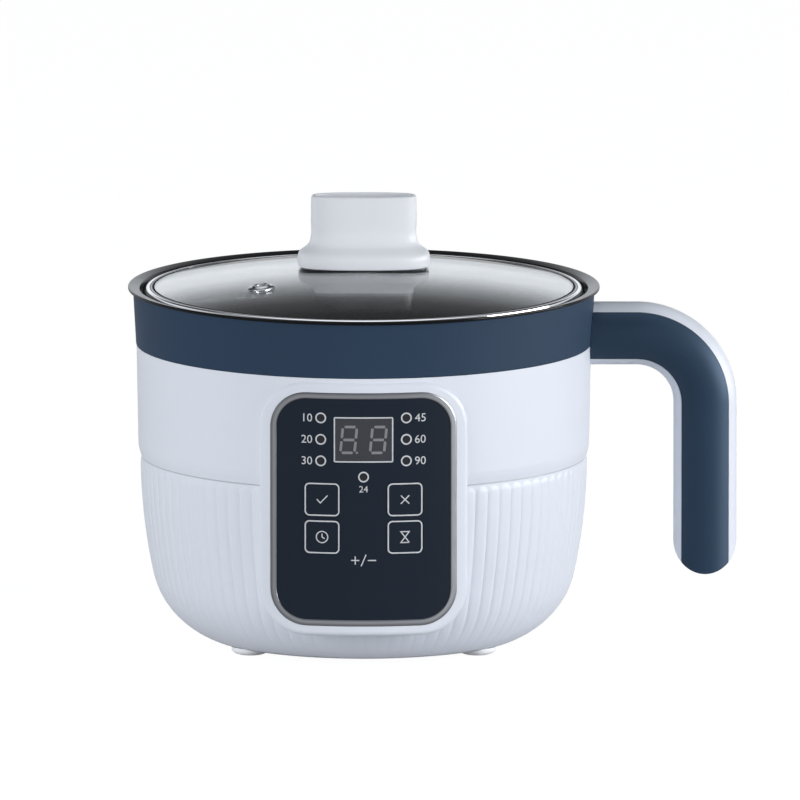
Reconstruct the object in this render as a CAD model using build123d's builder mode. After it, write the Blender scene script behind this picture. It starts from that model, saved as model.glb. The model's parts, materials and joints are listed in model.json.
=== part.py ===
from build123d import *
import os
from math import asin, atan2, cos, degrees, hypot, radians, sin, sqrt

# A small electric multicooker, in millimetres: a fixed non-stick pot in a white shell with a navy band,
# a loose glass lid, an L-shaped side handle and a control panel with four push keys.
# Z is up from the table. The panel faces -Y and the handle points to +X.
# The origin is the middle of the whole cooker's footprint, so the pot's own axis stands left of it.

# Clearances
OVERRUN = 5.0  # how far a cut runs past the face that it opens
FIT_GAP = 0.3  # between pieces that lift or slide past one another
SEAT_GAP = 0.1  # between pieces that are pressed, glued or screwed in place

# Pot
RIM_HEIGHT = 165.0  # top of the flange above the table
POT_FLOOR = 62.0  # cooking floor above the table
POT_WALL = 1.2
MOUTH_RADIUS = 101.5  # inside, where the lid sits
MOUTH_DEPTH = 6.0  # flange top to the lid's ledge
LEDGE_WIDTH = 5.0
SHOULDER_WIDTH = 6.5  # from the ledge's inner edge in to the straight wall
SHOULDER_DROP = 11.0  # from the ledge down to the straight wall
FLANGE_WIDTH = 6.5
FLANGE_RISE = 0.6  # of the flange from the mouth out to its edge
FLOOR_CORNER = 20.0
SHOULDER_CORNER = 8.0
LEDGE_CORNER = 2.2
MOUTH_CORNER = 1.25
FLANGE_CORNER = 1.9
FLANGE_ROUND = 0.7  # of the flange's outer edge
SEAL_THICKNESS = 1.0

# Collar band
COLLAR_LENGTH = 25.0
COLLAR_WALL = 2.8  # at its top
COLLAR_TAPER = 1.4  # smaller radius at its lower edge
COLLAR_TOP_GAP = 0.2  # under the flange
COLLAR_ROUND = 0.6

# Housing
FOOT_HEIGHT = 3.4  # underside of the body above the table
HOUSING_INSET = 0.2  # behind the collar band's lower edge
UPPER_LENGTH = 51.0  # from the collar band down to the seam line
UPPER_TAPER = 0.8  # smaller radius just above that slope
STEP_DEPTH = 1.5  # how far the lower body stands back at the seam
STEP_ROUND = 12.0  # where that slope starts
STEP_SLOPE = 4.2  # height over which the upper body narrows to the seam
STEP_LIP = 0.35  # of the upper body over the lower at the seam
BOW_RADIUS = 260.0  # of the lower wall's gentle bow
CORNER_DROP = 28.6  # height of the rounded bottom corner
BASE_INSET = 30.0  # flat underside's edge, in from the lower wall
HOUSING_WALL = 2.5
NECK_INSET = 0.3  # neck under the collar band, in from the pot's mouth
NECK_WALL = 2.2
SHELF_WIDTH = 16.4  # bottom shelf, in from the underside's edge
SHELF_THICKNESS = 2.5
BOSS_RADIUS = 4.5
BOSS_HEIGHT = 8.0

# Panel and its island on the housing
TRIM_RISE = 24.05  # lower edge of the trim above the table
TRIM_BREADTH = 84.8
TRIM_CORNER = 16.4
TRIM_WIDTH = 2.5
TRIM_DROP = 6.45  # from the collar band down to the trim
TRIM_PROUD = 0.3  # of the island
ISLAND_PROUD = 1.2  # of the upper body
ISLAND_MARGIN = 4.8  # of the island round the trim
ISLAND_ROUND = 2.4
ISLAND_WALL = 2.2
PLATE_SINK = 0.2  # front of the plate behind the island
PLATE_THICKNESS = 2.0
PLATE_LEDGE = 2.2  # on which the plate rests, inside the trim

# Display, lamps and keys
WINDOW_BREADTH = 27.1
WINDOW_LENGTH = 20.9
WINDOW_CORNER = 2.0
WINDOW_DROP = 21.45  # middle of the window below the trim's upper edge
WINDOW_THICKNESS = 1.5
MODULE_INSET = 1.0  # display module inside the window's outline
MODULE_DEPTH = 5.6
LAMP_RADIUS = 1.8
LAMP_SIDE = 19.5
LAMP_PITCH = 9.9
MIDDLE_LAMP_DROP = 17.1  # from the middle of the window
LED_SIZE = 3.0
LED_DEPTH = 1.1
KEY_BREADTH = 16.0
KEY_LENGTH = 15.3
KEY_CORNER = 2.3
KEY_SIDE = 18.9
KEY_DROP = 27.7  # middle of the upper keys below the middle of the window
KEY_SPACING = 2.0  # between the upper and lower keys
KEY_PROUD = 0.25
KEY_GAP = 0.2  # round each key
KEY_LIP = 0.7  # behind the plate, round each key
KEY_STAND = 2.4  # back of the keys in front of the board
KEY_TRAVEL = 0.5
KEY_FREE_GAP = 0.05  # left between a pressed key and its switch
SWITCH_SIZE = 6.0
SWITCH_BODY = 1.3
PLUNGER_RADIUS = 1.75

# Control board
BOARD_STAND = 7.2  # front face behind the plate's back
BOARD_THICKNESS = 1.6
BOARD_SIDE = 2.7  # gap from the board's edges to the plate's ledge
BOARD_INSET = 4.0  # of the screws from the board's edges
POST_RADIUS = 2.6

# Screws: thread radius, head radius, head height and length
SMALL_SCREW = 1.25
SMALL_HEAD = 2.2
SMALL_HEAD_HEIGHT = 1.4
SMALL_LENGTH = 4.0
BASE_SCREW = 1.5
BASE_HEAD = 2.9
BASE_HEAD_HEIGHT = 1.6
BASE_LENGTH = 9.0
HANDLE_SCREW = 2.0
HANDLE_HEAD = 3.9
HANDLE_HEAD_HEIGHT = 2.4
HANDLE_LENGTH = 20.0

# Handle
GRIP_STAND = 52.3  # middle of the grip out from the upper body
ARM_DROP = 22.4  # middle of the arm below the flange
GRIP_LENGTH = 78.6  # straight part, from the bend to the lowest point
BEND_RADIUS = 31.5  # of the handle's middle line
HANDLE_WIDTH = 29.0  # in the plane of the L
HANDLE_DEPTH = 25.0  # front to back
GRIP_COVER_WIDTH = 21.6
GRIP_COVER_SEAT = 6.5  # flat back of a cover from the handle's mid-plane
UPPER_SCREW_RISE = 5.5  # above the arm's middle line
LOWER_SCREW_DROP = 9.0  # below the arm's middle line

# Lid
LID_GAP = 0.8  # round the lid in the pot's mouth
DOME_RADIUS = 490.0
GLASS_THICKNESS = 3.5
GLASS_EDGE = 0.9  # glass stands back from the rim's outer face
RIM_SHEET = 0.5
RIM_LIP = 3.1  # width of the rim's top and bottom lips
GLASS_HOLE = 3.0  # radius of the knob screw's hole
PAD_THICKNESS = 0.4
PAD_INSET = 0.9  # of the pad inside the knob's base
KNOB_HEIGHT = 32.6
KNOB_WIDTH = 60.5  # at its widest
KNOB_DEPTH = 32.4
DISH_DEPTH = 3.5
DISH_WALL = 2.4
KNOB_SCREW = 2.4
KNOB_SCREW_LENGTH = 18.0
KNOB_SCREW_HEAD = 4.5
KNOB_SCREW_HEAD_HEIGHT = 3.0
WASHER_RADIUS = 9.0
WASHER_THICKNESS = 1.2
EYELET_RADIUS = 6.2
EYELET_TUBE = 4.0
EYELET_HOLE = 2.4
EYELET_FLANGE = 1.1
EYELET_CLINCH = 5.4  # radius of the flange under the glass
EYELET_RING = 61.6  # from the middle of the lid
EYELET_TURN = 220.5  # degrees round from the handle

# The knob's sections from its base up: shares of its height, width and depth
KNOB_SHARES = (
    (0.0, 0.985, 0.975),
    (0.07, 1.0, 1.0),
    (0.14, 0.998, 0.99),
    (0.2, 0.97, 0.92),
    (0.25, 0.905, 0.78),
    (0.31, 0.838, 0.62),
    (0.39, 0.806, 0.55),
    (0.65, 0.8, 0.54),
    (0.95, 0.795, 0.53),
    (1.0, 0.775, 0.495),
)

# Heater under the pot
HEATER_RADIUS = 60.0
HEATER_THICKNESS = 4.0
HEATER_EYE = 12.0  # middle hole, for the sensor
TUBE_RADIUS = 3.4
TUBE_INSET = 12.0  # tube's ring, in from the studs' ring
TUBE_ARC = 330.0  # degrees
TUBE_SINK = 1.6  # of the tube into the plate
TERMINAL_RADIUS = 1.6
TERMINAL_LENGTH = 8.0
TERMINAL_TURN = 6.0  # degrees in from the tube's ends
TERMINAL_GAP = 2.0  # round a terminal where it passes the shield
SHIELD_MARGIN = 12.0  # of the shield round the heater plate
SHIELD_GAP = 9.4  # from the heater plate down to the shield
SHIELD_SHEET = 1.0
SHIELD_RIM = 5.0
STUD_RADIUS = 2.5
SPACER_RADIUS = 4.0
STUD_INSET = 6.0  # in from the heater plate's edge
STUD_TIP = 4.0  # below the shield
STUD_COUNT = 3
NUT_RADIUS = 4.6
NUT_HEIGHT = 3.2
SENSOR_RADIUS = 7.0
SENSOR_STEM = 4.5
FUSE_RADIUS = 2.0
FUSE_LENGTH = 14.0
CLIP_WIDTH = 12.0
CLIP_SHEET = 1.0
CLIP_LENGTH = 7.0

# Base cover, feet and power board
COVER_RIM = 1.2  # of the housing, left round the cover
COVER_THICKNESS = 3.0
FOOT_RADIUS = 8.6
FOOT_TREAD = 8.0  # radius at its lower end
FOOT_ROUND = 1.6  # where it meets the table
FOOT_PEG = 3.0
FOOT_INSET = 6.9  # middle of a foot, in from the underside's edge
FOOT_TURN = 37.0  # degrees from the handle's line
BASE_SCREW_COUNT = 4
SUPPORT_HEIGHT = 6.0  # of the power board above the base cover
SUPPORT_RADIUS = 3.5
POWER_BREADTH = 84.0
POWER_LENGTH = 56.0
POWER_INSET = 5.0
RELAY_BREADTH = 19.0
RELAY_LENGTH = 15.5
RELAY_HEIGHT = 15.5
TRANSFORMER_BREADTH = 28.0
TRANSFORMER_LENGTH = 24.0
TRANSFORMER_HEIGHT = 17.0
CAPACITOR_RADIUS = 6.0
CAPACITOR_HEIGHT = 15.0
PART_SPREAD = 24.0  # of the power board's parts from its middle

# Mains inlet at the back
INLET_HEIGHT = 33.0
FLAT_INSET = 1.4  # flat of the housing, in from the lower wall
FLAT_MARGIN = 5.0  # of that flat round the inlet's flange
FLAT_CORNER = 6.0
FLAT_ROUND = 1.2
INLET_BREADTH = 28.0
INLET_LENGTH = 20.5
INLET_CORNER = 3.0
INLET_DEPTH = 20.0
INLET_FLANGE = 3.0  # round the body
INLET_FLANGE_THICKNESS = 2.4
INLET_WALL = 1.8
PIN_BREADTH = 2.0
PIN_LENGTH = 4.0
PIN_PITCH = 7.0
PIN_RAISE = 2.5  # of the middle pin
PIN_RECESS = 6.5  # of the pins' tips behind the flange
PIN_TAB = 6.0  # behind the inlet

# Levels above the table
LEDGE_HEIGHT = RIM_HEIGHT - MOUTH_DEPTH
NECK_TOP = LEDGE_HEIGHT - POT_WALL - SEAL_THICKNESS
MOUTH_TOP = RIM_HEIGHT - FLANGE_RISE
COLLAR_TOP = MOUTH_TOP - POT_WALL - COLLAR_TOP_GAP
COLLAR_LOW = COLLAR_TOP - COLLAR_LENGTH
STEP_HEIGHT = COLLAR_LOW - UPPER_LENGTH
CORNER_HEIGHT = FOOT_HEIGHT + CORNER_DROP
TRIM_TOP = COLLAR_LOW - TRIM_DROP
TRIM_LENGTH = TRIM_TOP - TRIM_RISE
PANEL_HEIGHT = (TRIM_TOP + TRIM_RISE) / 2
WINDOW_HEIGHT = TRIM_TOP - WINDOW_DROP
ARM_HEIGHT = RIM_HEIGHT - ARM_DROP
ARM_LOW = ARM_HEIGHT - HANDLE_WIDTH / 2
BEND_HEIGHT = ARM_HEIGHT - BEND_RADIUS
GRIP_END_HEIGHT = BEND_HEIGHT - GRIP_LENGTH + HANDLE_WIDTH / 2
POT_UNDERSIDE = POT_FLOOR - POT_WALL
HEATER_UNDERSIDE = POT_UNDERSIDE - HEATER_THICKNESS
TUBE_HEIGHT = HEATER_UNDERSIDE - TUBE_RADIUS + TUBE_SINK
SHIELD_TOP = HEATER_UNDERSIDE - SHIELD_GAP
SHIELD_LOW = SHIELD_TOP - SHIELD_SHEET
FUSE_HEIGHT = HEATER_UNDERSIDE - FUSE_RADIUS - SEAT_GAP
COVER_TOP = FOOT_HEIGHT + COVER_THICKNESS
SHELF_TOP = COVER_TOP + SHELF_THICKNESS
POWER_LOW = COVER_TOP + SUPPORT_HEIGHT
POWER_TOP = POWER_LOW + BOARD_THICKNESS

# Distances from the pot's axis
RIM_RADIUS = MOUTH_RADIUS + FLANGE_WIDTH
LEDGE_RADIUS = MOUTH_RADIUS - LEDGE_WIDTH
POT_RADIUS = LEDGE_RADIUS - SHOULDER_WIDTH
COLLAR_BORE = MOUTH_RADIUS + POT_WALL + FIT_GAP
COLLAR_TOP_RADIUS = COLLAR_BORE + COLLAR_WALL
COLLAR_LOW_RADIUS = COLLAR_TOP_RADIUS - COLLAR_TAPER
NECK_RADIUS = MOUTH_RADIUS - NECK_INSET
NECK_BORE = NECK_RADIUS - NECK_WALL
HOUSING_RADIUS = COLLAR_LOW_RADIUS - HOUSING_INSET
STEP_RADIUS = HOUSING_RADIUS - UPPER_TAPER
LOWER_RADIUS = STEP_RADIUS - STEP_DEPTH
BASE_RADIUS = LOWER_RADIUS - BASE_INSET
COVER_RADIUS = BASE_RADIUS - COVER_RIM
SHELF_RADIUS = BASE_RADIUS - SHELF_WIDTH
BASE_SCREW_RING = (SHELF_RADIUS + BASE_RADIUS) / 2
FOOT_RING = BASE_RADIUS - FOOT_INSET
ISLAND_RADIUS = HOUSING_RADIUS + ISLAND_PROUD
TRIM_RADIUS = ISLAND_RADIUS + TRIM_PROUD
PLATE_RADIUS = ISLAND_RADIUS - PLATE_SINK
PLATE_BACK = PLATE_RADIUS - PLATE_THICKNESS
BOARD_FRONT = PLATE_BACK - BOARD_STAND
BOARD_BACK = BOARD_FRONT - BOARD_THICKNESS
KEY_BACK = BOARD_FRONT + KEY_STAND
GRIP_REACH = HOUSING_RADIUS + GRIP_STAND
BEND_REACH = GRIP_REACH - BEND_RADIUS
STUD_RING = HEATER_RADIUS - STUD_INSET
TUBE_RING = STUD_RING - TUBE_INSET
FUSE_RING = (HEATER_EYE + TUBE_RING) / 2
SHIELD_RADIUS = HEATER_RADIUS + SHIELD_MARGIN
LID_RADIUS = MOUTH_RADIUS - LID_GAP
GLASS_RADIUS = LID_RADIUS - GLASS_EDGE
LIP_RADIUS = LID_RADIUS - RIM_LIP
FLAT_FACE = LOWER_RADIUS - FLAT_INSET

# The lid's dome, whose lower lip rests just above the pot's ledge
LID_LOW = LEDGE_HEIGHT + FIT_GAP
GLASS_DROP = DOME_RADIUS - sqrt((DOME_RADIUS - GLASS_THICKNESS) ** 2 - GLASS_RADIUS**2)
GLASS_TOP = LID_LOW + RIM_SHEET + SEAT_GAP + GLASS_DROP
DOME_CENTRE = GLASS_TOP - DOME_RADIUS
KNOB_LOW = GLASS_TOP + PAD_THICKNESS
WASHER_TOP = GLASS_TOP - GLASS_THICKNESS - 2 * SEAT_GAP
WASHER_LOW = WASHER_TOP - WASHER_THICKNESS

# The lower wall: a gentle bow that turns inward by BOW_TURN, then one arc to the flat underside
BOW_TURN = asin((STEP_HEIGHT - CORNER_HEIGHT) / BOW_RADIUS)
CORNER_IN = LOWER_RADIUS - BOW_RADIUS * (1 - cos(BOW_TURN)) - BASE_RADIUS
CORNER_CHORD = hypot(CORNER_IN, CORNER_DROP)
CORNER_RADIUS = CORNER_CHORD**2 / (2 * (CORNER_IN * cos(BOW_TURN) - CORNER_DROP * sin(BOW_TURN)))
CORNER_TURN = 2 * asin(CORNER_CHORD / (2 * CORNER_RADIUS))

# The pot's axis stands left of the origin by half of what the handle reaches past the rim
POT_X = -(GRIP_REACH + HANDLE_WIDTH / 2 - RIM_RADIUS) / 2
POT_AXIS = Axis((POT_X, 0, 0), (0, 0, 1))
MERIDIAN = Plane((POT_X, 0, 0), x_dir=(1, 0, 0), z_dir=(0, -1, 0))
ARM_END = Plane((POT_X + BEND_REACH, 0, ARM_HEIGHT), x_dir=(0, 0, 1), z_dir=(-1, 0, 0))
GRIP_TOP = Plane((POT_X + GRIP_REACH, 0, BEND_HEIGHT), x_dir=(1, 0, 0), z_dir=(0, 0, 1))
BEND_AXIS = Axis((POT_X + BEND_REACH, 0, BEND_HEIGHT), (0, 1, 0))
QUARTER_TURN = 90

# Places on the panel, as (sideways, height)
LAMP_PLACES = [
    (side * LAMP_SIDE, WINDOW_HEIGHT + row * LAMP_PITCH) for side in (-1, 1) for row in (1, 0, -1)
] + [(0, WINDOW_HEIGHT - MIDDLE_LAMP_DROP)]
KEY_UPPER = WINDOW_HEIGHT - KEY_DROP
KEY_LOWER = KEY_UPPER - KEY_LENGTH - KEY_SPACING
KEY_PLACES = {
    "key_upper_left": (-KEY_SIDE, KEY_UPPER),
    "key_upper_right": (KEY_SIDE, KEY_UPPER),
    "key_lower_left": (-KEY_SIDE, KEY_LOWER),
    "key_lower_right": (KEY_SIDE, KEY_LOWER),
}
BOARD_BREADTH = TRIM_BREADTH - 2 * (TRIM_WIDTH + PLATE_LEDGE + BOARD_SIDE)
BOARD_LENGTH = TRIM_LENGTH - 2 * (TRIM_WIDTH + PLATE_LEDGE + BOARD_SIDE)
BOARD_CORNER = TRIM_CORNER - TRIM_WIDTH - PLATE_LEDGE - BOARD_SIDE
BOARD_SCREW_X = BOARD_BREADTH / 2 - BOARD_INSET
BOARD_SCREW_Z = BOARD_LENGTH / 2 - BOARD_INSET
BOARD_SCREW_PLACES = [
    (side * BOARD_SCREW_X, PANEL_HEIGHT + end * BOARD_SCREW_Z) for side in (-1, 1) for end in (-1, 1)
]


def level(height):
    """Level plane at a height, centred on the pot's axis."""
    return Plane((POT_X, 0, height))


def facing(depth):
    """Upright plane that faces the front, at a depth in front of the pot's axis."""
    return Plane((POT_X, -depth, 0), x_dir=(1, 0, 0), z_dir=(0, -1, 0))


def dome_height(radius, inset):
    """Height of the lid's dome at a radius, at an inset below its outer face."""
    return DOME_CENTRE + sqrt((DOME_RADIUS - inset) ** 2 - radius**2)


def turned(*outline):
    """Solid turned about the pot's axis from a closed outline of (radius, height) points."""
    with BuildPart() as solid:
        with BuildSketch(MERIDIAN):
            with BuildLine():
                Polyline(*outline, close=True)
            make_face()
        revolve(axis=POT_AXIS)
    return solid.part


def drum(radius):
    """Upright cylinder on the pot's axis, as tall as the pot stands."""
    return turned((0, 0), (radius, 0), (radius, RIM_HEIGHT), (0, RIM_HEIGHT))


def upright_block(breadth, length, corner, place, near, far):
    """Block with rounded corners as seen from the front, between two depths in front of the axis."""
    with BuildPart() as block:
        with BuildSketch(facing(near)):
            with Locations(place):
                RectangleRounded(breadth, length, corner)
        extrude(amount=far - near)
    return block.part


def upright_pegs(radius, places, near, far):
    """Round pegs that point to the front, between two depths in front of the axis."""
    with BuildPart() as pegs:
        with BuildSketch(facing(near)):
            with Locations(*places):
                Circle(radius)
        extrude(amount=far - near)
    return pegs.part


def panel_block(inset):
    """Block of the panel's outline at an inset from the trim's outer edge, from the axis past the front."""
    breadth = TRIM_BREADTH - 2 * inset
    length = TRIM_LENGTH - 2 * inset
    return upright_block(breadth, length, TRIM_CORNER - inset, (0, PANEL_HEIGHT), 0, TRIM_RADIUS + OVERRUN)


def inlet_block(margin, near, far):
    """Block of the inlet's outline with a margin, between two distances behind the axis."""
    breadth = INLET_BREADTH + 2 * margin
    length = INLET_LENGTH + 2 * margin
    return upright_block(breadth, length, INLET_CORNER, (0, INLET_HEIGHT), -near, -far)


def flat_block(near, far):
    """Block of the outline of the inlet's flat, between two distances behind the axis."""
    margin = 2 * (INLET_FLANGE + FLAT_MARGIN)
    breadth = INLET_BREADTH + margin
    length = INLET_LENGTH + margin
    return upright_block(breadth, length, FLAT_CORNER, (0, INLET_HEIGHT), -near, -far)


def handle_bores(radius, near, far):
    """Cylinders along the two handle screws, between two distances from the axis."""
    with BuildPart() as bores:
        for height in (ARM_HEIGHT + UPPER_SCREW_RISE, ARM_HEIGHT - LOWER_SCREW_DROP):
            with BuildSketch(Plane((POT_X + near, 0, height), x_dir=(0, 1, 0), z_dir=(1, 0, 0))):
                Circle(radius)
            extrude(amount=far - near)
    return bores.part


def belly(inset):
    """The lower wall's two arcs, drawn downward at an inset from the outer face."""
    bow = JernArc((LOWER_RADIUS - inset, STEP_HEIGHT), (0, -1), BOW_RADIUS - inset, -degrees(BOW_TURN))
    corner = JernArc(bow @ 1, bow % 1, CORNER_RADIUS - inset, -degrees(CORNER_TURN))
    return bow, corner


# Pot: one pressed sheet, drawn along its inside from the middle of the floor to the flange's outer edge.
with BuildPart() as pot:
    with BuildSketch(MERIDIAN):
        with BuildLine():
            FilletPolyline(
                (0, POT_FLOOR),
                (POT_RADIUS, POT_FLOOR),
                (POT_RADIUS, LEDGE_HEIGHT - SHOULDER_DROP),
                (LEDGE_RADIUS, LEDGE_HEIGHT),
                (MOUTH_RADIUS, LEDGE_HEIGHT),
                (MOUTH_RADIUS, MOUTH_TOP),
                (RIM_RADIUS, RIM_HEIGHT),
                radius=[FLOOR_CORNER, SHOULDER_CORNER, LEDGE_CORNER, MOUTH_CORNER, FLANGE_CORNER],
            )
            offset(amount=POT_WALL, side=Side.RIGHT, closed=True)
        make_face()
    revolve(axis=POT_AXIS)
    fillet(pot.edges().filter_by(GeomType.CIRCLE).sort_by(Axis.Z)[-1], FLANGE_ROUND)

# Seal: silicone ring between the housing's neck and the pot's ledge.
with BuildPart() as rim_seal:
    with BuildSketch(level(NECK_TOP)):
        Circle(NECK_RADIUS - FIT_GAP)
        Circle(NECK_BORE, mode=Mode.SUBTRACT)
    extrude(amount=SEAL_THICKNESS)

# Handle screws: driven outward from inside the neck, through the collar band or the housing.
head_face = sqrt(NECK_BORE**2 - HANDLE_HEAD**2)
screw_tip = head_face + HANDLE_LENGTH
screw_way = handle_bores(HANDLE_SCREW + SEAT_GAP, head_face - OVERRUN, screw_tip + SEAT_GAP)
screw_heads = handle_bores(HANDLE_HEAD, head_face - HANDLE_HEAD_HEIGHT, head_face)
screw_shanks = handle_bores(HANDLE_SCREW, head_face, screw_tip)
with BuildPart() as handle_screws:
    add(screw_heads)
    add(screw_shanks)

# Collar band: tapered ring round the housing's neck and the pot's mouth.
collar_blank = turned(
    (NECK_RADIUS + SEAT_GAP, COLLAR_LOW),
    (COLLAR_LOW_RADIUS, COLLAR_LOW),
    (COLLAR_TOP_RADIUS, COLLAR_TOP),
    (COLLAR_BORE, COLLAR_TOP),
    (COLLAR_BORE, NECK_TOP),
    (NECK_RADIUS + SEAT_GAP, NECK_TOP),
)
with BuildPart() as collar_band:
    add(collar_blank)
    fillet(collar_band.edges().group_by(Axis.Z)[0].sort_by(SortBy.LENGTH)[-1], COLLAR_ROUND)
    add(screw_way, mode=Mode.SUBTRACT)

# Housing: turned shell with the panel's island in front and the inlet's flat behind.
island_drum = drum(ISLAND_RADIUS)
plate_back_drum = drum(PLATE_BACK)
island_bore = drum(PLATE_BACK - ISLAND_WALL)
island_block = panel_block(-ISLAND_MARGIN)
hollow_block = panel_block(HOUSING_WALL - ISLAND_MARGIN)
pocket_block = panel_block(-SEAT_GAP)
window_block = panel_block(TRIM_WIDTH + PLATE_LEDGE)
inlet_flat = flat_block(0, FLAT_FACE)
flat_way = flat_block(FLAT_FACE, HOUSING_RADIUS + OVERRUN)
inlet_way = inlet_block(SEAT_GAP, 0, FLAT_FACE + OVERRUN)

with BuildPart() as island:
    add(island_block)
    add(island_drum, mode=Mode.INTERSECT)
    fillet(island.faces().sort_by(Axis.Y)[0].outer_wire().edges(), ISLAND_ROUND)

with BuildPart() as island_cavity:
    add(hollow_block)
    add(island_bore, mode=Mode.INTERSECT)

with BuildPart() as panel_pocket:
    add(pocket_block)
    add(plate_back_drum, mode=Mode.SUBTRACT)

with BuildPart() as flat_boss:
    add(inlet_flat)
    fillet(flat_boss.faces().sort_by(Axis.Y)[-1].outer_wire().edges(), FLAT_ROUND)

upper_bore = STEP_RADIUS - HOUSING_WALL
with BuildPart() as cavity:
    with BuildSketch(MERIDIAN):
        with BuildLine():
            inner_bow, inner_corner = belly(HOUSING_WALL)
            Polyline(
                inner_bow @ 0,
                (upper_bore, STEP_HEIGHT + HOUSING_WALL),
                (upper_bore, ARM_LOW - HOUSING_WALL),
                (NECK_BORE, ARM_LOW),
                (NECK_BORE, NECK_TOP + OVERRUN),
                (0, NECK_TOP + OVERRUN),
                (0, (inner_corner @ 1).Y),
                inner_corner @ 1,
            )
        make_face()
    revolve(axis=POT_AXIS)
    with BuildSketch(level(0)):
        Circle(RIM_RADIUS)
    extrude(amount=SHELF_TOP, mode=Mode.SUBTRACT)

with BuildPart() as housing:
    with BuildSketch(MERIDIAN):
        with BuildLine():
            outer_bow, outer_corner = belly(0)
            Polyline(
                outer_bow @ 0,
                (LOWER_RADIUS + STEP_LIP, STEP_HEIGHT),
                (STEP_RADIUS, STEP_HEIGHT + STEP_SLOPE),
                (HOUSING_RADIUS, COLLAR_LOW),
                (NECK_RADIUS, COLLAR_LOW),
                (NECK_RADIUS, NECK_TOP),
                (0, NECK_TOP),
                (0, FOOT_HEIGHT),
                outer_corner @ 1,
            )
        make_face()
    revolve(axis=POT_AXIS)
    slope_top = STEP_HEIGHT + STEP_SLOPE
    fillet(housing.edges().filter_by_position(Axis.Z, slope_top, slope_top), STEP_ROUND)
    add(island.part)
    add(flat_boss.part)
    add(flat_way, mode=Mode.SUBTRACT)
    add(cavity.part, mode=Mode.SUBTRACT)
    add(island_cavity.part, mode=Mode.SUBTRACT)
    add(panel_pocket.part, mode=Mode.SUBTRACT)
    add(window_block, mode=Mode.SUBTRACT)
    add(inlet_way, mode=Mode.SUBTRACT)
    add(screw_way, mode=Mode.SUBTRACT)
    with BuildSketch(level(FOOT_HEIGHT)):
        Circle(COVER_RADIUS + SEAT_GAP)
    extrude(amount=COVER_THICKNESS, mode=Mode.SUBTRACT)
    with BuildSketch(level(FOOT_HEIGHT)):
        Circle(SHELF_RADIUS)
    extrude(amount=SHELF_TOP, mode=Mode.SUBTRACT)
    with BuildSketch(level(SHELF_TOP)):
        with PolarLocations(BASE_SCREW_RING, BASE_SCREW_COUNT):
            Circle(BOSS_RADIUS)
    extrude(amount=BOSS_HEIGHT)
    with BuildSketch(level(COVER_TOP)):
        with PolarLocations(BASE_SCREW_RING, BASE_SCREW_COUNT):
            Circle(BASE_SCREW + SEAT_GAP)
    extrude(amount=SHELF_THICKNESS + BOSS_HEIGHT, mode=Mode.SUBTRACT)

# Panel trim: silver frame in the island's pocket.
trim_drum = drum(TRIM_RADIUS)
trim_outer = panel_block(0)
trim_inner = panel_block(TRIM_WIDTH)
with BuildPart() as panel_trim:
    add(trim_outer)
    add(trim_inner, mode=Mode.SUBTRACT)
    add(trim_drum, mode=Mode.INTERSECT)
    add(plate_back_drum, mode=Mode.SUBTRACT)

# Panel plate: curved navy plate with the window, lamp and key openings, and posts for the board.
plate_drum = drum(PLATE_RADIUS)
plate_middle_drum = drum(PLATE_RADIUS - PLATE_THICKNESS / 2)
plate_block = panel_block(TRIM_WIDTH + SEAT_GAP)
front = TRIM_RADIUS + OVERRUN
window_hole = upright_block(WINDOW_BREADTH, WINDOW_LENGTH, WINDOW_CORNER, (0, WINDOW_HEIGHT), 0, front)
lamp_holes = upright_pegs(LAMP_RADIUS + SEAT_GAP, LAMP_PLACES, BOARD_FRONT, front)
board_posts = upright_pegs(POST_RADIUS, BOARD_SCREW_PLACES, BOARD_FRONT, front)
post_bores = upright_pegs(
    SMALL_SCREW + SEAT_GAP, BOARD_SCREW_PLACES, BOARD_FRONT, BOARD_BACK + SMALL_LENGTH + SEAT_GAP
)
with BuildPart() as key_holes:
    with BuildSketch(facing(0)):
        with Locations(*KEY_PLACES.values()):
            RectangleRounded(KEY_BREADTH + 2 * KEY_GAP, KEY_LENGTH + 2 * KEY_GAP, KEY_CORNER + KEY_GAP)
    extrude(amount=front)

with BuildPart() as posts:
    add(board_posts)
    add(plate_middle_drum, mode=Mode.INTERSECT)

with BuildPart() as panel_plate:
    add(plate_block)
    add(plate_drum, mode=Mode.INTERSECT)
    add(plate_back_drum, mode=Mode.SUBTRACT)
    add(window_hole, mode=Mode.SUBTRACT)
    add(lamp_holes, mode=Mode.SUBTRACT)
    add(key_holes.part, mode=Mode.SUBTRACT)
    add(posts.part)
    add(post_bores, mode=Mode.SUBTRACT)

# Display window: smoked lens, flush in the plate.
window_back_drum = drum(PLATE_RADIUS - WINDOW_THICKNESS)
window_lens = upright_block(
    WINDOW_BREADTH - 2 * SEAT_GAP, WINDOW_LENGTH - 2 * SEAT_GAP, WINDOW_CORNER, (0, WINDOW_HEIGHT), 0, front
)
with BuildPart() as display_window:
    add(window_lens)
    add(plate_drum, mode=Mode.INTERSECT)
    add(window_back_drum, mode=Mode.SUBTRACT)

# Display module: two-digit block on the control board, behind the window.
with BuildPart() as display_module:
    with BuildSketch(facing(BOARD_FRONT)):
        with Locations((0, WINDOW_HEIGHT)):
            Rectangle(WINDOW_BREADTH - 2 * MODULE_INSET, WINDOW_LENGTH - 2 * MODULE_INSET)
    extrude(amount=MODULE_DEPTH)

# Indicator lenses: light pipes from the lamps on the board to the plate's face.
lamp_pipes = upright_pegs(LAMP_RADIUS, LAMP_PLACES, BOARD_FRONT + LED_DEPTH, front)
with BuildPart() as indicator_lenses:
    add(lamp_pipes)
    add(plate_drum, mode=Mode.INTERSECT)

with BuildPart() as indicator_leds:
    with BuildSketch(facing(BOARD_FRONT)):
        with Locations(*LAMP_PLACES):
            Rectangle(LED_SIZE, LED_SIZE)
    extrude(amount=LED_DEPTH)

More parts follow.
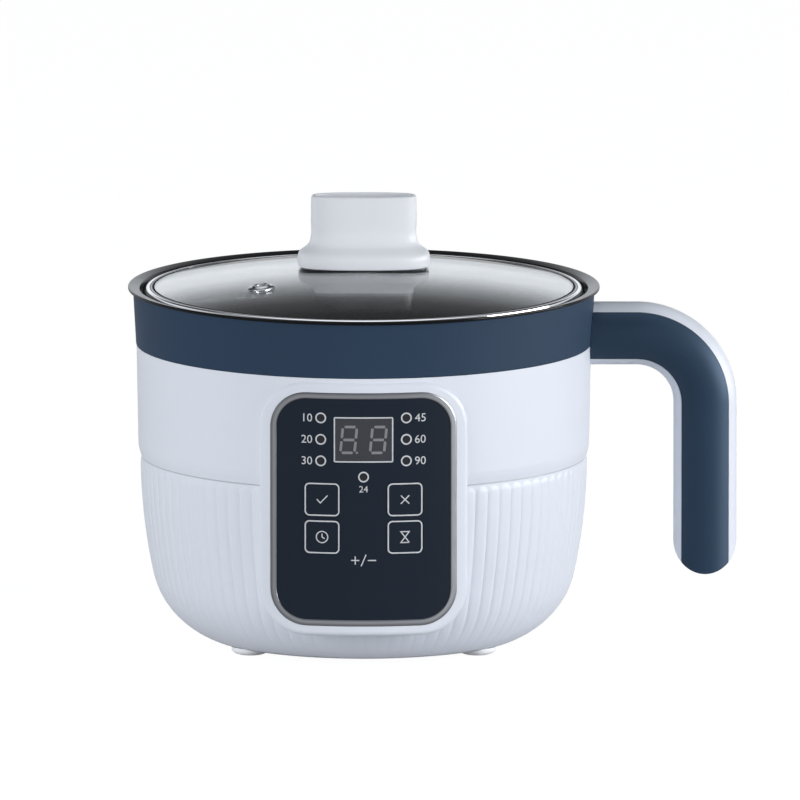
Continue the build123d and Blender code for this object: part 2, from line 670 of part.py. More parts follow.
# Control board, its key switches and its screws.
with BuildPart() as control_board:
    with BuildSketch(facing(BOARD_BACK)):
        with Locations((0, PANEL_HEIGHT)):
            RectangleRounded(BOARD_BREADTH, BOARD_LENGTH, BOARD_CORNER)
        with Locations(*BOARD_SCREW_PLACES):
            Circle(SMALL_SCREW + SEAT_GAP, mode=Mode.SUBTRACT)
    extrude(amount=BOARD_THICKNESS)

with BuildPart() as key_switches:
    with BuildSketch(facing(BOARD_FRONT)):
        with Locations(*KEY_PLACES.values()):
            Rectangle(SWITCH_SIZE, SWITCH_SIZE)
    extrude(amount=SWITCH_BODY)
    with BuildSketch(facing(BOARD_FRONT)):
        with Locations(*KEY_PLACES.values()):
            Circle(PLUNGER_RADIUS)
    extrude(amount=KEY_STAND - KEY_TRAVEL - KEY_FREE_GAP)

board_heads = upright_pegs(SMALL_HEAD, BOARD_SCREW_PLACES, BOARD_BACK - SMALL_HEAD_HEIGHT, BOARD_BACK)
board_shanks = upright_pegs(SMALL_SCREW, BOARD_SCREW_PLACES, BOARD_BACK, BOARD_BACK + SMALL_LENGTH)
with BuildPart() as board_screws:
    add(board_heads)
    add(board_shanks)

# Keys: each fills its opening and is held behind the plate by a wider back.
key_front_drum = drum(PLATE_RADIUS + KEY_PROUD)
key_lip_drum = drum(PLATE_BACK - KEY_GAP)


def push_key(place):
    """One key at its place on the panel."""
    face_block = upright_block(KEY_BREADTH, KEY_LENGTH, KEY_CORNER, place, KEY_BACK, front)
    lip_breadth = KEY_BREADTH + 2 * KEY_LIP
    lip_length = KEY_LENGTH + 2 * KEY_LIP
    lip_block = upright_block(lip_breadth, lip_length, KEY_CORNER + KEY_LIP, place, KEY_BACK, front)
    with BuildPart() as lip:
        add(lip_block)
        add(key_lip_drum, mode=Mode.INTERSECT)
    with BuildPart() as key:
        add(face_block)
        add(key_front_drum, mode=Mode.INTERSECT)
        add(lip.part)
    return key


# Handle: an elliptical L. Its core carries a flat-backed cover in the front and another behind.
with BuildPart() as body_envelope:
    with BuildSketch(MERIDIAN):
        with BuildLine():
            Polyline(
                (0, STEP_HEIGHT),
                (STEP_RADIUS + SEAT_GAP, STEP_HEIGHT),
                (HOUSING_RADIUS + SEAT_GAP, COLLAR_LOW),
                (COLLAR_LOW_RADIUS + SEAT_GAP, COLLAR_LOW),
                (COLLAR_TOP_RADIUS + SEAT_GAP, COLLAR_TOP),
                (0, COLLAR_TOP),
                close=True,
            )
        make_face()
    revolve(axis=POT_AXIS)

with BuildPart() as grip_end:
    with BuildSketch(MERIDIAN):
        with Locations((GRIP_REACH, GRIP_END_HEIGHT - HANDLE_WIDTH / 2)):
            Rectangle(HANDLE_WIDTH + OVERRUN, HANDLE_WIDTH)
        with Locations((GRIP_REACH, GRIP_END_HEIGHT)):
            Circle(HANDLE_WIDTH / 2, mode=Mode.SUBTRACT)
    extrude(amount=HANDLE_DEPTH, both=True)


def cover_strip(side, gap, mode):
    """Part of the handle's section that a cover fills, on one side of its mid-plane."""
    thickness = HANDLE_DEPTH / 2 - GRIP_COVER_SEAT + gap
    with Locations((0, side * (HANDLE_DEPTH - thickness) / 2)):
        Rectangle(GRIP_COVER_WIDTH + 2 * gap, thickness, mode=mode)


def draw_core():
    """Section of the core: the whole ellipse without its covers."""
    Ellipse(HANDLE_WIDTH / 2, HANDLE_DEPTH / 2)
    cover_strip(-1, SEAT_GAP, Mode.SUBTRACT)
    cover_strip(1, SEAT_GAP, Mode.SUBTRACT)


def draw_front_cover():
    """Section of the front cover."""
    Ellipse(HANDLE_WIDTH / 2, HANDLE_DEPTH / 2)
    cover_strip(-1, 0, Mode.INTERSECT)


def draw_rear_cover():
    """Section of the rear cover."""
    Ellipse(HANDLE_WIDTH / 2, HANDLE_DEPTH / 2)
    cover_strip(1, 0, Mode.INTERSECT)


def handle_run(draw):
    """A section carried along the handle: out along the arm, round the bend and down the grip."""
    with BuildPart() as run:
        with BuildSketch(ARM_END):
            draw()
        extrude(amount=BEND_REACH - NECK_BORE)
        with BuildSketch(ARM_END):
            draw()
        revolve(axis=BEND_AXIS, revolution_arc=QUARTER_TURN)
        with BuildSketch(GRIP_TOP):
            draw()
        extrude(amount=-GRIP_LENGTH)
        add(grip_end.part, mode=Mode.SUBTRACT)
        add(body_envelope.part, mode=Mode.SUBTRACT)
    return run


core_run = handle_run(draw_core)
with BuildPart() as handle_core:
    add(core_run.part)
    add(screw_way, mode=Mode.SUBTRACT)
handle_cover_front = handle_run(draw_front_cover)
handle_cover_rear = handle_run(draw_rear_cover)

# Lid glass: spherical dome with a middle hole for the knob's screw and one for the eyelet.
EYELET_X = EYELET_RING * cos(radians(EYELET_TURN))
EYELET_Y = EYELET_RING * sin(radians(EYELET_TURN))
EYELET_Z = dome_height(EYELET_RING, 0)
EYELET_PLANE = Plane((POT_X + EYELET_X, EYELET_Y, EYELET_Z), z_dir=(EYELET_X, EYELET_Y, EYELET_Z - DOME_CENTRE))
with BuildPart() as lid_glass:
    with BuildSketch(MERIDIAN):
        with BuildLine():
            middle = GLASS_RADIUS / 2
            top = ThreePointArc(
                (0, GLASS_TOP), (middle, dome_height(middle, 0)), (GLASS_RADIUS, dome_height(GLASS_RADIUS, 0))
            )
            below = ThreePointArc(
                (0, GLASS_TOP - GLASS_THICKNESS),
                (middle, dome_height(middle, GLASS_THICKNESS)),
                (GLASS_RADIUS, dome_height(GLASS_RADIUS, GLASS_THICKNESS)),
            )
            Line(top @ 0, below @ 0)
            Line(top @ 1, below @ 1)
        make_face()
    revolve(axis=POT_AXIS)
    with BuildSketch(level(GLASS_TOP)):
        Circle(GLASS_HOLE)
    extrude(amount=GLASS_THICKNESS + OVERRUN, both=True, mode=Mode.SUBTRACT)
    with BuildSketch(EYELET_PLANE):
        Circle(EYELET_TUBE + SEAT_GAP)
    extrude(amount=GLASS_THICKNESS + OVERRUN, both=True, mode=Mode.SUBTRACT)

# Lid rim: folded steel channel round the glass.
rim_top = dome_height(LIP_RADIUS, 0) + SEAT_GAP + RIM_SHEET
with BuildPart() as lid_rim:
    with BuildSketch(MERIDIAN):
        with BuildLine():
            Polyline(
                (LIP_RADIUS, LID_LOW),
                (LID_RADIUS, LID_LOW),
                (LID_RADIUS, rim_top),
                (LIP_RADIUS, rim_top),
                (LIP_RADIUS, rim_top - RIM_SHEET),
                (LID_RADIUS - RIM_SHEET, rim_top - RIM_SHEET),
                (LID_RADIUS - RIM_SHEET, LID_LOW + RIM_SHEET),
                (LIP_RADIUS, LID_LOW + RIM_SHEET),
                close=True,
            )
        make_face()
    revolve(axis=POT_AXIS)
    fillet(lid_rim.edges().filter_by_position(Axis.Z, rim_top, rim_top).sort_by(SortBy.LENGTH)[-1], RIM_SHEET)

# Knob pad: oval gasket that fills between the dome and the knob's flat base.
with BuildPart() as knob_pad:
    with BuildSketch(level(KNOB_LOW)):
        base_share = KNOB_SHARES[0]
        Ellipse(base_share[1] * KNOB_WIDTH / 2 - PAD_INSET, base_share[2] * KNOB_DEPTH / 2 - PAD_INSET)
        Circle(GLASS_HOLE, mode=Mode.SUBTRACT)
    extrude(amount=-PAD_THICKNESS - GLASS_THICKNESS)
    with Locations((POT_X, 0, DOME_CENTRE)):
        Sphere(DOME_RADIUS, mode=Mode.SUBTRACT)

# Lid knob: oval sections, flared at the base and dished on top.
with BuildPart() as lid_knob:
    for height_share, width_share, depth_share in KNOB_SHARES:
        with BuildSketch(level(KNOB_LOW + height_share * KNOB_HEIGHT)):
            Ellipse(width_share * KNOB_WIDTH / 2, depth_share * KNOB_DEPTH / 2)
    loft()
    with BuildSketch(level(KNOB_LOW + KNOB_HEIGHT)):
        Ellipse(width_share * KNOB_WIDTH / 2 - DISH_WALL, depth_share * KNOB_DEPTH / 2 - DISH_WALL)
    extrude(amount=-DISH_DEPTH, mode=Mode.SUBTRACT)
    with BuildSketch(level(KNOB_LOW)):
        Circle(KNOB_SCREW + SEAT_GAP)
    extrude(amount=WASHER_LOW + KNOB_SCREW_LENGTH + SEAT_GAP - KNOB_LOW, mode=Mode.SUBTRACT)

with BuildPart() as knob_washer:
    with BuildSketch(level(WASHER_LOW)):
        Circle(WASHER_RADIUS)
        Circle(KNOB_SCREW + SEAT_GAP, mode=Mode.SUBTRACT)
    extrude(amount=WASHER_THICKNESS)

with BuildPart() as knob_screw:
    with BuildSketch(level(WASHER_LOW)):
        Circle(KNOB_SCREW)
    extrude(amount=KNOB_SCREW_LENGTH)
    with BuildSketch(level(WASHER_LOW)):
        Circle(KNOB_SCREW_HEAD)
    extrude(amount=-KNOB_SCREW_HEAD_HEIGHT)

# Vent eyelet: riveted tube with a flange above and below the glass.
with BuildPart() as vent_eyelet:
    with BuildSketch(EYELET_PLANE.offset(SEAT_GAP)):
        Circle(EYELET_RADIUS)
    extrude(amount=EYELET_FLANGE)
    with BuildSketch(EYELET_PLANE.offset(SEAT_GAP)):
        Circle(EYELET_TUBE)
    extrude(amount=-GLASS_THICKNESS - 3 * SEAT_GAP)
    with BuildSketch(EYELET_PLANE.offset(-GLASS_THICKNESS - SEAT_GAP)):
        Circle(EYELET_CLINCH)
    extrude(amount=-EYELET_FLANGE)
    with BuildSketch(EYELET_PLANE):
        Circle(EYELET_HOLE)
    extrude(amount=GLASS_THICKNESS + OVERRUN, both=True, mode=Mode.SUBTRACT)

# Heater: plate under the pot, with a groove that takes the tubular element.
with BuildPart() as heater_plate:
    with BuildSketch(level(HEATER_UNDERSIDE)):
        Circle(HEATER_RADIUS)
        Circle(HEATER_EYE, mode=Mode.SUBTRACT)
    extrude(amount=HEATER_THICKNESS)
    with BuildSketch(MERIDIAN):
        with Locations((TUBE_RING, TUBE_HEIGHT)):
            Circle(TUBE_RADIUS + SEAT_GAP)
    revolve(axis=POT_AXIS, mode=Mode.SUBTRACT)

with BuildPart() as heater_tube:
    with BuildSketch(MERIDIAN):
        with Locations((TUBE_RING, TUBE_HEIGHT)):
            Circle(TUBE_RADIUS)
    revolve(axis=POT_AXIS, revolution_arc=TUBE_ARC)

terminal_turns = PolarLocations(TUBE_RING, 2, TERMINAL_TURN, TUBE_ARC - 2 * TERMINAL_TURN, endpoint=True)
with BuildPart() as heater_terminals:
    with BuildSketch(level(TUBE_HEIGHT - TUBE_RADIUS)):
        with terminal_turns:
            Circle(TERMINAL_RADIUS)
    extrude(amount=-TERMINAL_LENGTH)

with BuildPart() as shield_studs:
    with BuildSketch(level(SHIELD_TOP)):
        with PolarLocations(STUD_RING, STUD_COUNT):
            Circle(SPACER_RADIUS)
    extrude(amount=SHIELD_GAP)
    with BuildSketch(level(SHIELD_TOP)):
        with PolarLocations(STUD_RING, STUD_COUNT):
            Circle(STUD_RADIUS)
    extrude(amount=-SHIELD_SHEET - STUD_TIP)

with BuildPart() as shield_nuts:
    with BuildSketch(level(SHIELD_LOW)):
        with PolarLocations(STUD_RING, STUD_COUNT):
            RegularPolygon(NUT_RADIUS, 6)
            Circle(STUD_RADIUS + SEAT_GAP, mode=Mode.SUBTRACT)
    extrude(amount=-NUT_HEIGHT)

# Heat shield: shallow dish hung from the heater plate.
with BuildPart() as heat_shield:
    with BuildSketch(level(SHIELD_LOW)):
        Circle(SHIELD_RADIUS)
    extrude(amount=SHIELD_SHEET + SHIELD_RIM)
    with BuildSketch(level(SHIELD_TOP)):
        Circle(SHIELD_RADIUS - SHIELD_SHEET)
    extrude(amount=SHIELD_RIM, mode=Mode.SUBTRACT)
    with BuildSketch(level(SHIELD_LOW)):
        with PolarLocations(STUD_RING, STUD_COUNT):
            Circle(STUD_RADIUS + SEAT_GAP)
        with terminal_turns:
            Circle(TERMINAL_RADIUS + TERMINAL_GAP)
    extrude(amount=SHIELD_SHEET, mode=Mode.SUBTRACT)

# Temperature sensor: stands on the shield and touches the pot through the heater's eye.
with BuildPart() as temperature_sensor:
    with BuildSketch(level(SHIELD_TOP)):
        Circle(SENSOR_STEM)
    extrude(amount=SHIELD_GAP)
    with BuildSketch(level(HEATER_UNDERSIDE)):
        Circle(SENSOR_RADIUS)
    extrude(amount=HEATER_THICKNESS)

# Thermal fuse: lies under the heater plate in a bent clip.
with BuildPart() as thermal_fuse:
    with BuildSketch(facing(-FUSE_LENGTH / 2)):
        with Locations((-FUSE_RING, FUSE_HEIGHT)):
            Circle(FUSE_RADIUS)
    extrude(amount=FUSE_LENGTH)

clip_bore = FUSE_RADIUS + SEAT_GAP
with BuildPart() as fuse_clip:
    with BuildSketch(facing(-CLIP_LENGTH / 2)):
        with Locations((-FUSE_RING, HEATER_UNDERSIDE)):
            Rectangle(CLIP_WIDTH, CLIP_SHEET, align=(Align.CENTER, Align.MAX))
            Rectangle(
                2 * (clip_bore + CLIP_SHEET), 2 * clip_bore + CLIP_SHEET, align=(Align.CENTER, Align.MAX)
            )
            Rectangle(2 * clip_bore, 2 * clip_bore, align=(Align.CENTER, Align.MAX), mode=Mode.SUBTRACT)
    extrude(amount=CLIP_LENGTH)

# Feet: tapered, rounded pads with pegs in the base cover.
FOOT_SPREAD_X = 2 * FOOT_RING * cos(radians(FOOT_TURN))
FOOT_SPREAD_Y = 2 * FOOT_RING * sin(radians(FOOT_TURN))
foot_places = GridLocations(FOOT_SPREAD_X, FOOT_SPREAD_Y, 2, 2)
with BuildPart() as feet:
    with BuildSketch(level(0)):
        with foot_places:
            Circle(FOOT_TREAD)
    extrude(amount=FOOT_HEIGHT, taper=-degrees(atan2(FOOT_RADIUS - FOOT_TREAD, FOOT_HEIGHT)))
    fillet(feet.edges().group_by(Axis.Z)[0], FOOT_ROUND)
    with BuildSketch(level(FOOT_HEIGHT)):
        with foot_places:
            Circle(FOOT_PEG)
    extrude(amount=COVER_THICKNESS - SEAT_GAP)

# Base cover: disc with foot holes, sunk screw holes and supports for the power board.
screw_seat = FOOT_HEIGHT + BASE_HEAD_HEIGHT + SEAT_GAP
power_places = GridLocations(POWER_BREADTH - 2 * POWER_INSET, POWER_LENGTH - 2 * POWER_INSET, 2, 2)
with BuildPart() as base_cover:
    with BuildSketch(level(FOOT_HEIGHT)):
        Circle(COVER_RADIUS)
        with foot_places:
            Circle(FOOT_PEG + SEAT_GAP, mode=Mode.SUBTRACT)
        with PolarLocations(BASE_SCREW_RING, BASE_SCREW_COUNT):
            Circle(BASE_SCREW + SEAT_GAP, mode=Mode.SUBTRACT)
    extrude(amount=COVER_THICKNESS)
    with BuildSketch(level(FOOT_HEIGHT)):
        with PolarLocations(BASE_SCREW_RING, BASE_SCREW_COUNT):
            Circle(BASE_HEAD + SEAT_GAP)
    extrude(amount=BASE_HEAD_HEIGHT + SEAT_GAP, mode=Mode.SUBTRACT)
    with BuildSketch(level(COVER_TOP)):
        with power_places:
            Circle(SUPPORT_RADIUS)
    extrude(amount=SUPPORT_HEIGHT)
    with BuildSketch(level(POWER_LOW)):
        with power_places:
            Circle(SMALL_SCREW + SEAT_GAP)
    extrude(amount=-SUPPORT_HEIGHT, mode=Mode.SUBTRACT)

with BuildPart() as base_screws:
    with BuildSketch(level(screw_seat)):
        with PolarLocations(BASE_SCREW_RING, BASE_SCREW_COUNT):
            Circle(BASE_HEAD)
    extrude(amount=-BASE_HEAD_HEIGHT)
    with BuildSketch(level(screw_seat)):
        with PolarLocations(BASE_SCREW_RING, BASE_SCREW_COUNT):
            Circle(BASE_SCREW)
    extrude(amount=BASE_LENGTH)

# Power board with its relay, transformer, capacitor and screws.
with BuildPart() as power_board:
    with BuildSketch(level(POWER_LOW)):
        Rectangle(POWER_BREADTH, POWER_LENGTH)
        with power_places:
            Circle(SMALL_SCREW + SEAT_GAP, mode=Mode.SUBTRACT)
    extrude(amount=BOARD_THICKNESS)

with BuildPart() as power_screws:
    with BuildSketch(level(POWER_TOP)):
        with power_places:
            Circle(SMALL_HEAD)
    extrude(amount=SMALL_HEAD_HEIGHT)
    with BuildSketch(level(POWER_TOP)):
        with power_places:
            Circle(SMALL_SCREW)
    extrude(amount=-SMALL_LENGTH)

with BuildPart() as relay:
    with BuildSketch(level(POWER_TOP)):
        with Locations((-PART_SPREAD, 0)):
            Rectangle(RELAY_BREADTH, RELAY_LENGTH)
    extrude(amount=RELAY_HEIGHT)

with BuildPart() as transformer:
    with BuildSketch(level(POWER_TOP)):
        with Locations((PART_SPREAD, 0)):
            Rectangle(TRANSFORMER_BREADTH, TRANSFORMER_LENGTH)
    extrude(amount=TRANSFORMER_HEIGHT)

with BuildPart() as capacitor:
    with BuildSketch(level(POWER_TOP)):
        Circle(CAPACITOR_RADIUS)
    extrude(amount=CAPACITOR_HEIGHT)

# Mains inlet: socket in the flat at the back, with three recessed pins.
socket_back = FLAT_FACE - INLET_DEPTH
socket_mouth = FLAT_FACE + INLET_FLANGE_THICKNESS
pin_tip = socket_mouth - PIN_RECESS
pin_places = [(-PIN_PITCH, INLET_HEIGHT), (0, INLET_HEIGHT + PIN_RAISE), (PIN_PITCH, INLET_HEIGHT)]
inlet_body = inlet_block(0, socket_back, FLAT_FACE)
inlet_flange = inlet_block(INLET_FLANGE, FLAT_FACE, socket_mouth)
inlet_hollow = inlet_block(-INLET_WALL, socket_back + INLET_WALL, socket_mouth)


def inlet_pegs(gap, near, far):
    """The inlet's three flat pins, grown by a gap, between two distances behind the axis."""
    with BuildPart() as pegs:
        with BuildSketch(facing(-near)):
            with Locations(*pin_places):
                Rectangle(PIN_BREADTH + 2 * gap, PIN_LENGTH + 2 * gap)
        extrude(amount=near - far)
    return pegs


inlet_pins = inlet_pegs(0, socket_back - PIN_TAB, pin_tip)
pin_slots = inlet_pegs(SEAT_GAP, socket_back, socket_back + INLET_WALL)
with BuildPart() as power_inlet:
    add(inlet_body)
    add(inlet_flange)
    add(inlet_hollow, mode=Mode.SUBTRACT)
    add(pin_slots.part, mode=Mode.SUBTRACT)

PIECES = {
    "pot": pot,
    "rim_seal": rim_seal,
    "collar_band": collar_band,
    "housing": housing,
    "panel_trim": panel_trim,
    "panel_plate": panel_plate,
    "display_window": display_window,
    "display_module": display_module,
    "indicator_lenses": indicator_lenses,
    "indicator_leds": indicator_leds,
    "control_board": control_board,
    "key_switches": key_switches,
    "board_screws": board_screws,
    "handle_core": handle_core,
    "handle_cover_front": handle_cover_front,
    "handle_cover_rear": handle_cover_rear,
    "handle_screws": handle_screws,
    "lid_glass": lid_glass,
    "lid_rim": lid_rim,
    "lid_knob": lid_knob,
    "knob_pad": knob_pad,
    "knob_washer": knob_washer,
    "knob_screw": knob_screw,
    "vent_eyelet": vent_eyelet,
    "heater_plate": heater_plate,
    "heater_tube": heater_tube,
    "heater_terminals": heater_terminals,
    "heat_shield": heat_shield,
    "shield_studs": shield_studs,
    "shield_nuts": shield_nuts,
    "temperature_sensor": temperature_sensor,
    "thermal_fuse": thermal_fuse,
    "fuse_clip": fuse_clip,
    "base_cover": base_cover,
    "feet": feet,
    "base_screws": base_screws,
    "power_board": power_board,
    "power_screws": power_screws,
    "relay": relay,
    "transformer": transformer,
    "capacitor": capacitor,
    "power_inlet": power_inlet,
    "inlet_pins": inlet_pins,
}
for key_name, key_place in KEY_PLACES.items():
    PIECES[key_name] = push_key(key_place)

os.makedirs("parts", exist_ok=True)
for piece_name, piece in PIECES.items():
    piece.part.label = piece_name
    export_step(piece.part, f"parts/{piece_name}.step")
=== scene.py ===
"""Finishes, fine surfaces and studio for a small electric multicooker.

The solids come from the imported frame. This script gives each of them a procedural finish and adds the
surfaces that make it look real: the ribbed skirt, the pot's lip, the knob, the lid's metal, the panel's trim
and print. Lengths are in metres, Z is up, the panel faces -Y and the handle points to +X.
"""

import json

import bmesh
import bpy
import numpy as np
from bpy.props import FloatProperty, FloatVectorProperty, IntProperty, PointerProperty
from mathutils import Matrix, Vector


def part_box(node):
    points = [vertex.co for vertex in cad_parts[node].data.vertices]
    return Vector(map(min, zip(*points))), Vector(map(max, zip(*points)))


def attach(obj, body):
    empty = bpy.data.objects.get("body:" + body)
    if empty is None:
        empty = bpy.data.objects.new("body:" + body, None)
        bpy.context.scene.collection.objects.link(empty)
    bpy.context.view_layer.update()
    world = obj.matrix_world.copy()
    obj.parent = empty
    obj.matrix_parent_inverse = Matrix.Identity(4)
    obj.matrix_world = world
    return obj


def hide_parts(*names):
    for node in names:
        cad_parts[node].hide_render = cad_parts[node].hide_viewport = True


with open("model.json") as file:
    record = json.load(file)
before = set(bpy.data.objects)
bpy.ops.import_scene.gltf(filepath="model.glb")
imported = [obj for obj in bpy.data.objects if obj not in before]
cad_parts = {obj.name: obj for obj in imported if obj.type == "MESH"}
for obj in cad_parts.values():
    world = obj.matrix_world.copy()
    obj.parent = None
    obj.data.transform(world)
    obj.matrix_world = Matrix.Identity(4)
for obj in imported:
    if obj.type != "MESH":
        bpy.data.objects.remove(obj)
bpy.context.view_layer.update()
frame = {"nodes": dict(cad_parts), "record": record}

bl_info = {
    "name": "Multicooker finish",
    "version": (1, 0, 0),
    "blender": (4, 5, 0),
    "location": "View3D > Sidebar > Multicooker",
    "description": "Finishes a small electric multicooker and its studio",
    "category": "Object",
}

MM = 0.001

# Places read from the frame
pot_low, pot_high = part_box("pot")
AXIS_X = (pot_low.x + pot_high.x) / 2
trim_low, trim_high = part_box("panel_trim")
plate_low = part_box("panel_plate")[0]
window_low, window_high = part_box("display_window")
knob_low, knob_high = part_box("lid_knob")
glass_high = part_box("lid_glass")[1]
rim_low, rim_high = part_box("lid_rim")
housing_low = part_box("housing")[0]
inlet_low, inlet_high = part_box("power_inlet")
feet_low, feet_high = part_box("feet")
KEYS = ("key_upper_left", "key_upper_right", "key_lower_left", "key_lower_right")
LAMP_NUMBERS = ("10", "20", "30", "45", "60", "90", "24")


def size(label, about, default):
    """A length that a user may change."""
    return FloatProperty(
        name=label, description=about, default=default, subtype="DISTANCE", unit="LENGTH", precision=5
    )


def tint(label, about, default):
    """A colour that a user may change."""
    return FloatVectorProperty(
        name=label, description=about, default=default, size=3, subtype="COLOR", min=0, max=1
    )


def angle(label, about, degrees):
    """An angle that a user may change, given here in degrees."""
    return FloatProperty(
        name=label, description=about, default=np.radians(degrees), subtype="ANGLE", unit="ROTATION"
    )


def power(label, about, watts):
    """A lamp's power that a user may change."""
    return FloatProperty(name=label, description=about, default=watts, unit="POWER")


def plain(label, about, default):
    """A plain number that a user may change."""
    return FloatProperty(name=label, description=about, default=default, precision=4)


class BodySizes(bpy.types.PropertyGroup):
    """Lower wall of the body and the ribs on it."""

    seam_height: size("Seam height", "Seam line above the table", 0.087)
    wall_radius: size("Wall radius", "Lower wall at the seam, from the pot's axis", 0.1019)
    bow_radius: size("Bow radius", "Radius of the lower wall's gentle bow", 0.26)
    corner_height: size("Corner height", "Where the rounded bottom corner starts", 0.032)
    base_radius: size("Base radius", "Edge of the flat underside, from the pot's axis", 0.0719)
    island_margin: size("Island margin", "Raised island round the panel's trim", 0.0048)
    island_corner: size("Island corner", "Corner radius of that island", 0.0212)
    island_tuck: size("Island tuck", "How far the skirt runs on into that island", 0.0024)
    boss_margin: size("Boss margin", "Flat boss round the mains inlet", 0.005)
    boss_tuck: size("Boss tuck", "How far the skirt runs on into that boss", 0.0012)
    rib_count: IntProperty(name="Ribs", description="Ribs round the whole body", default=96, min=12)
    rib_depth: size("Rib depth", "Height of a rib over the wall", 0.0005)
    # Painted shade: a thin dim line on the skirt just under the seam stands in for the shadow in the seam's
    # step.
    seam_line: size("Seam line", "Breadth of the dim line under the seam", 0.0004)
    seam_shade: plain("Seam shade", "Brightness of that line", 0.6)
    rib_drop: size("Rib drop", "Top of the ribs below the seam", 0.0016)
    skirt_lift: size("Skirt lift", "Ribbed skirt over the body's wall", 0.00005)
    skirt_sheet: size("Skirt sheet", "Thickness of the ribbed skirt", 0.0003)
    foot_radius: size("Foot radius", "Radius of a foot", 0.0086)
    foot_round: size("Foot rounding", "Breadth of the rounding round a foot's sole", 0.0048)
    foot_bend: plain("Foot bend", "Share of a foot's height in that rounding", 0.7)
    foot_sink: size("Foot sink", "How far a foot reaches into the base", 0.0002)


class PotSizes(bpy.types.PropertyGroup):
    """Section of the pot, whose floor, height and outer edge come from the frame."""

    sheet: size("Sheet", "Thickness of the pot", 0.0012)
    wall_radius: size("Wall radius", "Inside of the straight wall", 0.09)
    shoulder_height: size("Shoulder height", "Top of the straight wall above the table", 0.148)
    ledge_radius: size("Ledge radius", "Inner edge of the lid's ledge", 0.0965)
    ledge_height: size("Ledge height", "Lid's ledge above the table", 0.159)
    mouth_radius: size("Mouth radius", "Inside of the mouth at that ledge", 0.1018)
    floor_corner: size("Floor corner", "Rounding between floor and wall", 0.02)
    shoulder_corner: size("Shoulder corner", "Rounding over the straight wall", 0.008)
    ledge_corner: size("Ledge corner", "Rounding at both edges of the ledge", 0.0012)
    lip_radius: size("Lip radius", "Inner edge of the lip's slope", 0.1028)
    lip_way: size("Lip way", "How far the mouth narrows below that edge", 0.0034)
    lip_corner: size("Lip corner", "Rounding of that edge", 0.0007)
    lip_round: size("Lip edge", "Rounding of the lip's outer edge", 0.0006)
    lip_edge: size("Lip drop", "Height of the lip's outer edge", 0.0013)
    lip_rise: angle("Lip rise", "Slope of the lip, up and out", 12)


class LidSizes(bpy.types.PropertyGroup):
    """Knob, metal rim and steam eyelet of the lid."""

    knob_power: plain("Knob squareness", "Exponent of the knob's oval sections, 2 is an ellipse", 2.7)
    knob_sink: size("Knob sink", "How far the knob sits down over its pad", 0.0001)
    knob_round: size("Knob edge", "Rounding of the knob's top edge", 0.0013)
    dish_land: size("Dish land", "Flat land between that rounding and the dish", 0.0004)
    dish_round: size("Dish rounding", "Rounding from the land down into the dish", 0.0006)
    dish_depth: size("Dish depth", "Depth of the dish in the knob's top", 0.011)
    dish_slope: size("Dish slope", "How far the dish's wall runs in on its way down", 0.003)
    rim_width: size("Rim width", "Width of the metal rim's lower lip", 0.0031)
    rim_sheet: size("Rim sheet", "Thickness of the metal rim", 0.0005)
    rim_shoulder: size("Rim shoulder", "Height of the rim's upright side", 0.0027)
    bead_inset: size("Bead inset", "Rim's bead from its outer edge", 0.0008)
    bead_width: size("Bead width", "Width of the rim's bead", 0.0018)
    bead_height: size("Bead height", "Height of the bead over the glass", 0.0005)
    band_width: size("Band width", "Band of the rim that lies on the glass inside its bead", 0.0021)
    dome_radius: size("Dome radius", "Radius of the glass dome", 0.49)
    eyelet_ring: size("Eyelet place", "Eyelet from the middle of the lid", 0.0616)
    eyelet_turn: angle("Eyelet turn", "Eyelet's direction round from the handle", 220.5)


class PanelSizes(bpy.types.PropertyGroup):
    """Trim, display, lamps and marks of the control panel."""

    trim_width: size("Trim width", "Width of the silver trim", 0.0029)
    trim_corner: size("Trim corner", "Outer corner radius of the trim", 0.0164)
    trim_depth: size("Trim depth", "Back of the trim behind the plate's face", 0.0019)
    print_lift: size("Print lift", "Printed marks over the surface that carries them", 0.00004)
    print_sheet: size("Print thickness", "Thickness of the printed marks", 0.00006)
    lamp_radius: size("Lamp radius", "Radius of a lamp's lens", 0.0018)
    lamp_ring: size("Lamp ring", "Radius of the ring round a lamp, at its middle", 0.00216)
    lamp_stroke: size("Lamp stroke", "Width of that ring", 0.00064)
    frame_stroke: size("Frame stroke", "Width of the display's frame", 0.0006)
    frame_inset: size("Frame inset", "Display's frame from the window's edge", 0.0002)
    frame_corner: size("Frame corner", "Corner radius of the display's frame", 0.0004)
    key_stroke: size("Key stroke", "Width of a key's outline", 0.00062)
    key_lip: size("Key lip", "Round edge of a key outside its face", 0.0007)
    key_margin: size("Key margin", "A key's outline from the edge of its face", 0.00005)
    key_corner: size("Key corner", "Corner radius of a key's face", 0.0023)
    mark_stroke: size("Mark stroke", "Width of the symbols' lines", 0.0005)
    sign_arm: size("Sign arm", "Half a stroke of the plus and the minus", 0.0019)
    sign_drop: size("Sign drop", "Plus and minus below the keys", 0.00225)
    digit_height: size("Digit height", "Height of a display digit", 0.0131)
    digit_breadth: size("Digit breadth", "Breadth of a display digit", 0.0076)
    digit_pitch: size("Digit pitch", "From one display digit to the next", 0.0135)
    segment_stroke: size("Segment stroke", "Width of a digit's segments", 0.0012)
    digit_slant: plain("Digit slant", "Sideways lean of the digits per height", 0.1)
    point_gap: size("Point gap", "Decimal point beside its digit", 0.0011)
    point_height: size("Point height", "Height of the decimal point", 0.0009)
    number_height: size("Number height", "Height of the printed numbers", 0.0037)
    number_gap: size("Number gap", "Numbers sideways from the middle of their lamps", 0.0039)
    number_drop: size("Number drop", "Lowest number below the middle of its lamp", 0.0056)
    number_share: plain("Lowest number", "Height of the lowest number, of the others' height", 0.8)


